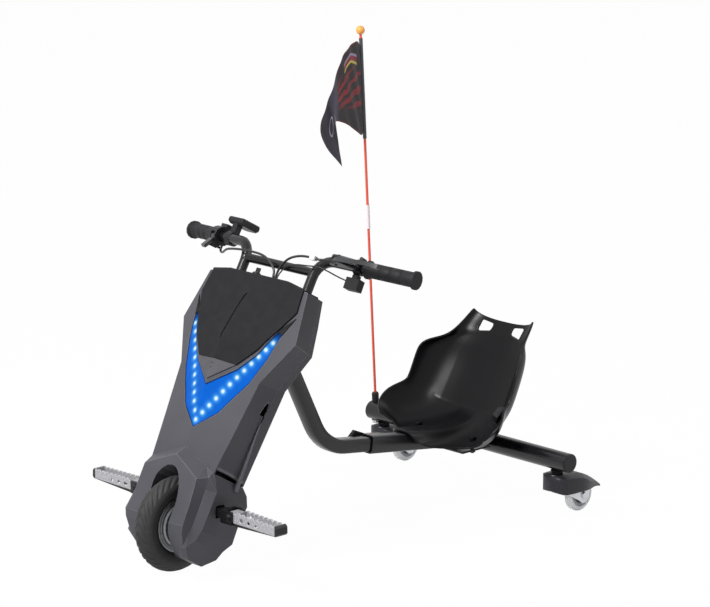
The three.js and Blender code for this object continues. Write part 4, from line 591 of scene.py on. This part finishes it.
paint_edge, peg_end_out, peg_underside = 0.0005, 0.283, 0.132
peg_metal = finish("peg_metal", "a2a2a6", 0.5, cloud=0.3, patch=420, grain=1500, relief=0.5, metal=0.3,
                   edge_highlight=0.6)
peg_tree = peg_metal.node_tree
peg_x, _, peg_z = coordinates(peg_tree)
peg_out = wire(peg_tree, "Math", {0: peg_x}, operation="ABSOLUTE").outputs[0]
peg_end = rising(peg_tree, peg_out, peg_end_out - paint_edge, peg_end_out + paint_edge)
peg_under = rising(peg_tree, peg_z, peg_underside + paint_edge, peg_underside - paint_edge)
painted_over(peg_metal, larger(peg_tree, peg_end, peg_under), "141416")
for side in ("left", "right"):
    eased_copy(f"peg_bracket_{side}", gloss_paint)
    eased_copy(f"peg_{side}", peg_metal)

# Inside the body: the battery in blue shrink wrap and the controller in its ribbed aluminium case.
battery_wrap = finish("battery_wrap", "2f4c8c", 0.4, cloud=0.1, patch=20, grain=300, relief=0.3)
eased_copy("battery_pack", battery_wrap, edge=0.002)
eased_copy("controller", cast_metal, edge=0.0006)

# The frame: a square steel tube bent once, welded to the head tube, sliding in the rear sleeve. The beam is
# welded across the sleeve's back. All are powder coated black. The bearings are bright steel, the beam's
# caps and the clamp lever nylon.
frame_paint = finish("frame_paint", "16161a", 0.22, cloud=0.12, patch=15, grain=600, relief=0.14, edge=0.0015,
                     edge_highlight=0.12, specular=0.42)
for node in ("main_tube", "head_tube", "rear_sleeve", "rear_beam"):
    eased_copy(node, frame_paint)
for node in ("head_bearing_lower", "head_bearing_upper"):
    eased_copy(node, zinc)
for node in ("beam_cap_left", "beam_cap_right", "length_lever"):
    eased_copy(node, nylon)

# The bucket seat: one moulded shell of black polypropylene with two hand holes in its back, bolted down on
# the sleeve's tabs. Each of its rows has the half width, the middle's way back, the tongue's reach, the
# middle's height, the edge's way back and height, and the depth of the leg troughs, in decimetres.
seat_unit, seat_shell, curl_share = 0.1, 0.004, 2.4
seat_rows = [
    (1.61, 7.73, 1.28, 1.805, 7.42, 1.68, 0.38),
    (1.82, 7.82, 0.92, 1.75, 7.58, 1.90, 0.36),
    (1.81, 8.00, 0.55, 1.68, 7.83, 2.13, 0.27),
    (1.635, 8.25, 0.22, 1.64, 8.00, 2.25, 0.15),
    (1.555, 8.50, 0, 1.71, 8.23, 2.32, 0.04),
    (1.55, 8.72, 0, 1.85, 8.29, 2.42, 0),
    (1.545, 8.93, 0, 2.22, 8.35, 2.53, 0),
    (1.525, 9.25, 0, 2.75, 8.50, 2.91, 0),
    (1.485, 9.40, 0, 3.10, 8.61, 3.15, 0),
    (1.205, 9.52, 0, 3.30, 8.98, 3.21, 0),
    (1.04, 9.58, 0, 3.42, 9.14, 3.34, 0),
    (0.95, 9.68, 0, 3.54, 9.55, 3.70, 0),
    (0.90, 9.77, 0, 3.65, 9.67, 3.85, 0),
]
# Each column has its place across, and its shares of the troughs and of the tongue.
seat_half_columns = [
    (0, 0, 1), (0.115, 0, 0.93), (0.15, 0.7, 0.82), (0.22, 0.95, 0.64), (0.32, 1, 0.42), (0.44, 1, 0.2),
    (0.56, 0.9, 0.06), (0.68, 0.6, 0), (0.8, 0.3, 0), (0.9, 0.1, 0), (1, 0, 0),
]
seat_columns = [(-s, *rest) for s, *rest in seat_half_columns[:0:-1]] + seat_half_columns
bpy.ops.mesh.primitive_grid_add(
    x_subdivisions=len(seat_columns) - 1, y_subdivisions=len(seat_rows) - 1, size=2,
)
seat = bpy.context.object
seat.name = "seat_shell"
seat_wrap = 0.92
seat_round = math.pi / 2 * seat_wrap
for k, vertex in enumerate(seat.data.vertices):
    half, back_middle, reach, up_middle, back_edge, up_edge, depth = seat_rows[k // len(seat_columns)]
    across, trough, tongue = seat_columns[k % len(seat_columns)]
    curl = abs(across) ** curl_share
    vertex.co = (
        seat_unit * half * math.sin(across * seat_round) / math.sin(seat_round),
        seat_unit * (back_middle + (back_edge - back_middle) * curl - reach * tongue) + steering_foot[1],
        seat_unit * (up_middle + (up_edge - up_middle) * curl - depth * trough),
    )
in_edit_mode(seat, lambda: bpy.ops.mesh.normals_make_consistent(inside=False))
seat.data.update()
# The seat creases where the back meets the floor, and less sharply up each side of the back.
crease_row, crease_reach, side_column, side_last_row, side_crease = 5, 0.6, 0.44, 10, 0.85
seat_crease = seat.data.attributes.new("crease_edge", "FLOAT", "EDGE")
for edge in seat.data.edges:
    (row_a, place_a), (row_b, place_b) = sorted(divmod(v, len(seat_columns)) for v in edge.vertices)
    across_a, across_b = (abs(seat_columns[p][0]) for p in (place_a, place_b))
    if row_a == row_b == crease_row and max(across_a, across_b) < crease_reach:
        seat_crease.data[edge.index].value = 1.0
    if across_a == across_b == side_column and crease_row <= row_a and row_b <= side_last_row:
        seat_crease.data[edge.index].value = side_crease
seat_floor = Vector((0, 0.39, 0.17))
middle_face = min(seat.data.polygons, key=lambda f: (f.center - seat_floor).length)
if middle_face.normal.z < 0:
    in_edit_mode(seat, bpy.ops.mesh.flip_normals)
fixed_by(seat, "SUBSURF", levels=3, render_levels=3)
fixed_by(seat, "SOLIDIFY", thickness=seat_shell, offset=-1, use_even_offset=True)
seat_hole = [(0.29, 3.570), (0.65, 3.620), (0.645, 3.385), (0.30, 3.428)]
hole_before, hole_behind, hole_corner = 0.40, 0.62, 0.005
for side in (1, -1):
    bpy.ops.mesh.primitive_cube_add(size=1)
    cutter = bpy.context.object
    for vertex in cutter.data.vertices:
        near_middle = vertex.co.x * side < 0
        top = vertex.co.z > 0
        x, up = seat_hole[(0 if top else 3) if near_middle else (1 if top else 2)]
        vertex.co = (side * x * seat_unit, hole_before if vertex.co.y < 0 else hole_behind, up * seat_unit)
    in_edit_mode(cutter, lambda: bpy.ops.mesh.normals_make_consistent(inside=False))
    fixed_by(cutter, "BEVEL", width=hole_corner, segments=4)
    fixed_by(seat, "BOOLEAN", object=cutter, operation="DIFFERENCE", solver="EXACT")
    bpy.data.objects.remove(cutter)
fixed_by(seat, "BEVEL", width=0.0012, segments=2, limit_method="ANGLE", angle_limit=math.radians(50))
smooth_by_angle(seat, 40)
# The seat's finish paints a highlight along its creases and rims.
seat_gloss = finish("seat_gloss", "101012", 0.3, cloud=0.1, patch=10, grain=500, relief=0.06, edge=0.004,
                    edge_highlight=1.0, specular=0.13)
seat.data.materials.append(seat_gloss)
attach(seat, "rear_frame")
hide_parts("seat")
for node in ("seat_bolt_left", "seat_bolt_right"):
    eased_copy(node, gloss_paint)
eased_copy("flag_stud", zinc)
eased_copy("seat_side_catch", nylon, edge=0.001)

# The casters: a zinc fork with a black neck on a plain stem, under a black moulded cover, and a wheel of
# milky polyurethane on a black core, greyer in its web than in its tread.
cover_plastic = finish("cover_plastic", "26262c", 0.42, cloud=0.12, patch=25, grain=700, relief=0.15,
                       edge=0.0015, edge_highlight=0.4, specular=0.25)
fork_neck_bottom = 0.094
fork_zinc = zinc.copy()
fork_zinc.name = "fork_zinc"
fork_z = coordinates(fork_zinc.node_tree)[2]
fork_neck = rising(fork_zinc.node_tree, fork_z, fork_neck_bottom - paint_edge, fork_neck_bottom + paint_edge)
painted_over(fork_zinc, fork_neck, "151517")

caster_axle, core_radius, web_radius, tread_radius = (0, 0.4715, 0.0375), 0.02, 0.0262, 0.0285
web_share = 0.75
wheel_white = bpy.data.materials.new("caster_tread")
wheel_white.use_nodes = True
white_tree = wheel_white.node_tree
white_shader = white_tree.nodes["Principled BSDF"]
white_place = wire(white_tree, "TexCoord", {}).outputs["Object"]
white_moved = wire(white_tree, "VectorMath", {0: white_place, 1: caster_axle},
                   operation="SUBTRACT").outputs[0]
white_flat = wire(white_tree, "VectorMath", {0: white_moved, 1: (0, 1, 1)}, operation="MULTIPLY").outputs[0]
white_away = wire(white_tree, "VectorMath", {0: white_flat}, operation="LENGTH").outputs["Value"]
white_tyre = rising(white_tree, white_away, core_radius - paint_edge, core_radius + paint_edge)
white_mottle = wire(white_tree, "TexNoise", {"Vector": white_place, "Scale": 60, "Detail": 3}).outputs[0]
white_milk = wire(white_tree, "Mix", {0: white_mottle, 6: tone("f4f6fb"), 7: tone("ffffff")},
                  data_type="RGBA").outputs[2]
white_web = wire(white_tree, "MapRange", {"Value": white_away, "From Min": web_radius,
                                          "From Max": tread_radius, "To Min": web_share,
                                          "To Max": 0}).outputs[0]
white_shaded = wire(white_tree, "Mix", {0: white_web, 6: white_milk, 7: tone("6a6e7c")},
                    data_type="RGBA").outputs[2]
white_colour = wire(white_tree, "Mix", {0: white_tyre, 6: tone("1a1a1c"), 7: white_shaded},
                    data_type="RGBA").outputs[2]
white_gloss = wire(white_tree, "MapRange", {"Value": white_mottle, "To Min": 0.15, "To Max": 0.3}).outputs[0]
white_tree.links.new(white_colour, white_shader.inputs["Base Color"])
white_tree.links.new(white_gloss, white_shader.inputs["Roughness"])
white_shader.inputs["Subsurface Weight"].default_value = 0.05
white_shader.inputs["Subsurface Radius"].default_value = (0.004, 0.004, 0.004)
white_shader.inputs["Subsurface Scale"].default_value = 1.0
for side in ("left", "right"):
    eased_copy(f"caster_cover_{side}", cover_plastic)
    eased_copy(f"caster_fork_{side}", fork_zinc)
    eased_copy(f"caster_wheel_{side}", wheel_white)

# The pole: two red glass-fibre rods joined by a pale ferrule, in a rubber socket on the beam, with an
# orange ball on top.
pole_red = finish("pole_red", "e2543c", 0.35, cloud=0.1, patch=30, grain=500, relief=0.1, streak=(1, 1, 0.1))
eased_copy("flag_pole_upper", pole_red)
ferrule_bottom = 0.551
lower_red = pole_red.copy()
lower_red.name = "pole_red_and_ferrule"
lower_z = coordinates(lower_red.node_tree)[2]
ferrule = rising(lower_red.node_tree, lower_z, ferrule_bottom - paint_edge, ferrule_bottom + paint_edge)
painted_over(lower_red, ferrule, "f3e2e6")
eased_copy("flag_pole_lower", lower_red)
ball_orange = finish("ball_orange", "ffa850", 0.4, cloud=0.1, patch=60, grain=700, relief=0.1)
eased_copy("flag_ball", ball_orange, sharp=60)
eased_copy("flag_socket", grip_rubber)

# The pennant: thin black polyester with slanting dark red stripes, a chevron in three colours and a pale
# hoop, hemmed in dark red and sewn to a sleeve round the pole. It hangs in two folds.
flag_hoist, pole_lean = 0.226, math.radians(3.2)
sleeve_top, sleeve_skin, cloth_thick = 0.838, 0.0039, 0.0005
ripple, ripple_out, ripple_up, ripple_grows = 0.0012, 210, 60, 0.02
pole_foot = (-0.297, 0.4025, 0.147)
flag_place = Matrix.Translation(pole_foot) @ Matrix.Rotation(pole_lean, 4, "X")
# The top and bottom edges of the cloth in shares of the hoist: out from the pole, down, and sideways.
flag_top = [
    (0, 0, 0), (0.134, 0.024, 0.031), (0.253, 0.104, 0.040), (0.324, 0.242, 0.022), (0.335, 0.383, -0.017),
    (0.377, 0.519, -0.053), (0.437, 0.681, -0.084), (0.489, 0.834, -0.102), (0.458, 0.940, -0.107),
    (0.344, 1.111, -0.110), (0.200, 1.254, -0.115),
]
flag_bottom = [
    (0, 1.0, 0), (0.115, 0.903, 0.031), (0.239, 0.810, 0.040), (0.328, 0.767, 0.022), (0.344, 0.765, -0.017),
    (0.307, 0.810, -0.053), (0.270, 0.901, -0.084), (0.239, 1.009, -0.102), (0.227, 1.092, -0.107),
    (0.207, 1.177, -0.110), (0.192, 1.268, -0.115),
]
flag_rows = 7
bpy.ops.mesh.primitive_grid_add(
    x_subdivisions=len(flag_top) - 1, y_subdivisions=flag_rows - 1, size=1, calc_uvs=True,
)
pennant = bpy.context.object
pennant.name = "pennant"
for k, vertex in enumerate(pennant.data.vertices):
    a, b = flag_top[k % len(flag_top)], flag_bottom[k % len(flag_top)]
    share = 1 - (k // len(flag_top)) / (flag_rows - 1)
    out, down, side = (flag_hoist * (p + (q - p) * share) for p, q in zip(a, b))
    vertex.co = (side, -sleeve_skin - out, sleeve_top - down)
fixed_by(pennant, "SUBSURF", levels=3, render_levels=3)
for vertex in pennant.data.vertices:
    x, y, z = vertex.co
    vertex.co.x += ripple * math.sin(y * ripple_out + z * ripple_up) * min(1, -y / ripple_grows)
pennant.data.transform(flag_place)
fixed_by(pennant, "SOLIDIFY", thickness=cloth_thick, offset=0)
for face in pennant.data.polygons:
    face.use_smooth = True
cloth_print = bpy.data.materials.new("cloth_print")
cloth_print.use_nodes = True
cloth_tree = cloth_print.node_tree
cloth_shader = cloth_tree.nodes["Principled BSDF"]
cloth_shader.inputs["Sheen Weight"].default_value = 0.3
cloth_uv = wire(cloth_tree, "TexCoord", {}).outputs["UV"]
cloth_out, cloth_up, _ = wire(cloth_tree, "SeparateXYZ", {0: cloth_uv}).outputs


def combined(a, b, operation):
    return wire(cloth_tree, "Math", {0: a, 1: b}, operation=operation).outputs[0]


def printed(value, low, high, soft=0.012):
    """The share of the ink in a band of the print, soft at both sides."""
    enter = rising(cloth_tree, value, low - soft, low)
    leave = rising(cloth_tree, value, high + soft, high)
    return combined(enter, leave, "MULTIPLY")


def inked(ground, code, share):
    return wire(cloth_tree, "Mix", {0: share, 6: ground, 7: tone(code)}, data_type="RGBA").outputs[2]


# The ground is black. The outer fold is painted greyer, as painted light falling on that fold.
lit_fold_from, off_the_near_edge, off_the_far_edge = 0.36, -1, 2
cloth_base = inked(tone("171015"), "2e2a38", printed(cloth_out, lit_fold_from, off_the_far_edge, soft=0.06))

# Slanting stripes of dark red, uneven at their edges, across the middle of the inner fold.
stripe_slant, stripe_count, stripe_waver = 0.9, 42.0, 0.22
stripe_crest, stripe_height, stripe_reach = (0.25, 1.1), (0.3, 0.68), (0.03, 0.30)
cloth_cloud = wire(cloth_tree, "TexNoise", {"Vector": cloth_uv, "Scale": 7.0, "Detail": 3}).outputs[0]
cloth_slant = combined(cloth_up, combined(cloth_out, stripe_slant, "MULTIPLY"), "ADD")
cloth_slant = combined(cloth_slant, combined(cloth_cloud, stripe_waver, "MULTIPLY"), "ADD")
cloth_angle = combined(cloth_slant, stripe_count, "MULTIPLY")
cloth_wave = wire(cloth_tree, "Math", {0: cloth_angle}, operation="SINE").outputs[0]
cloth_stripe = combined(printed(cloth_wave, *stripe_crest, soft=0.3),
                        printed(cloth_up, *stripe_height, soft=0.08), "MULTIPLY")
cloth_stripe = combined(cloth_stripe, printed(cloth_out, *stripe_reach, soft=0.05), "MULTIPLY")
cloth_base = inked(cloth_base, "7a1c24", cloth_stripe)

# A chevron near the top of the inner fold, in red, violet and yellow.
chevron_middle, chevron_half, chevron_slope = 0.13, 0.075, 0.8
cloth_side = combined(cloth_out, chevron_middle, "SUBTRACT")
cloth_bend = wire(cloth_tree, "Math", {0: cloth_side}, operation="ABSOLUTE").outputs[0]
cloth_point = combined(cloth_up, combined(cloth_bend, chevron_slope, "MULTIPLY"), "ADD")
cloth_near = printed(cloth_bend, off_the_near_edge, chevron_half)
for code, low, high in (("8c2230", 0.85, 0.885), ("a892b4", 0.90, 0.915), ("cfbf5c", 0.815, 0.832)):
    cloth_base = inked(cloth_base, code, combined(printed(cloth_point, low, high), cloth_near, "MULTIPLY"))

# A pale hoop on the outer fold, and the hem all round.
hoop_out, hoop_up, hoop_squash, hoop_inside, hoop_outside = 0.62, 0.42, 1.7, 0.12, 0.14
cloth_across = combined(combined(cloth_out, hoop_out, "SUBTRACT"), hoop_squash, "MULTIPLY")
cloth_rise = combined(cloth_up, hoop_up, "SUBTRACT")
cloth_square = combined(combined(cloth_across, 2, "POWER"), combined(cloth_rise, 2, "POWER"), "ADD")
cloth_from_hoop = combined(cloth_square, 0.5, "POWER")
cloth_base = inked(cloth_base, "b9b6c2", printed(cloth_from_hoop, hoop_inside, hoop_outside, soft=0.01))
hem_bottom, hem_top, hem_outer = 0.025, 0.975, 0.985
cloth_unhemmed = combined(printed(cloth_up, hem_bottom, hem_top, soft=0.004),
                          printed(cloth_out, off_the_near_edge, hem_outer, soft=0.004), "MULTIPLY")
cloth_base = inked(cloth_base, "4e1a22", combined(1.0, cloth_unhemmed, "SUBTRACT"))

cloth_place = wire(cloth_tree, "TexCoord", {}).outputs["Object"]
cloth_weave = wire(cloth_tree, "TexNoise", {"Vector": cloth_place, "Scale": 1300, "Detail": 1}).outputs[0]
cloth_bump = wire(cloth_tree, "Bump", {"Strength": 0.25, "Distance": 0.0003,
                                       "Height": cloth_weave}).outputs[0]
cloth_sheen = wire(cloth_tree, "MapRange", {"Value": cloth_weave, "To Min": 0.6, "To Max": 0.85}).outputs[0]
cloth_tree.links.new(cloth_base, cloth_shader.inputs["Base Color"])
cloth_tree.links.new(cloth_sheen, cloth_shader.inputs["Roughness"])
cloth_tree.links.new(cloth_bump, cloth_shader.inputs["Normal"])
pennant.data.materials.append(cloth_print)
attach(pennant, "rear_frame")

# The pennant's sleeve: the same cloth in plain grey, doubled round the pole and sewn along the hoist. The
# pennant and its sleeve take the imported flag's place together.
sleeve_cloth = finish("sleeve_cloth", "46444a", 0.7, cloud=0.12, patch=40, grain=1400, relief=0.3)
sleeve_radius, sleeve_thick = 0.0042, 0.0006
bpy.ops.mesh.primitive_cylinder_add(vertices=24, radius=sleeve_radius, depth=flag_hoist,
                                    end_fill_type="NOTHING")
sleeve = bpy.context.object
sleeve.name = "pennant_sleeve"
fixed_by(sleeve, "SOLIDIFY", thickness=sleeve_thick, offset=-1)
sleeve.data.transform(flag_place @ Matrix.Translation((0, 0, sleeve_top - flag_hoist / 2)))
smooth_by_angle(sleeve, 40)
sleeve.data.materials.append(sleeve_cloth)
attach(sleeve, "rear_frame")
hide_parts("flag")
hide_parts("flag")
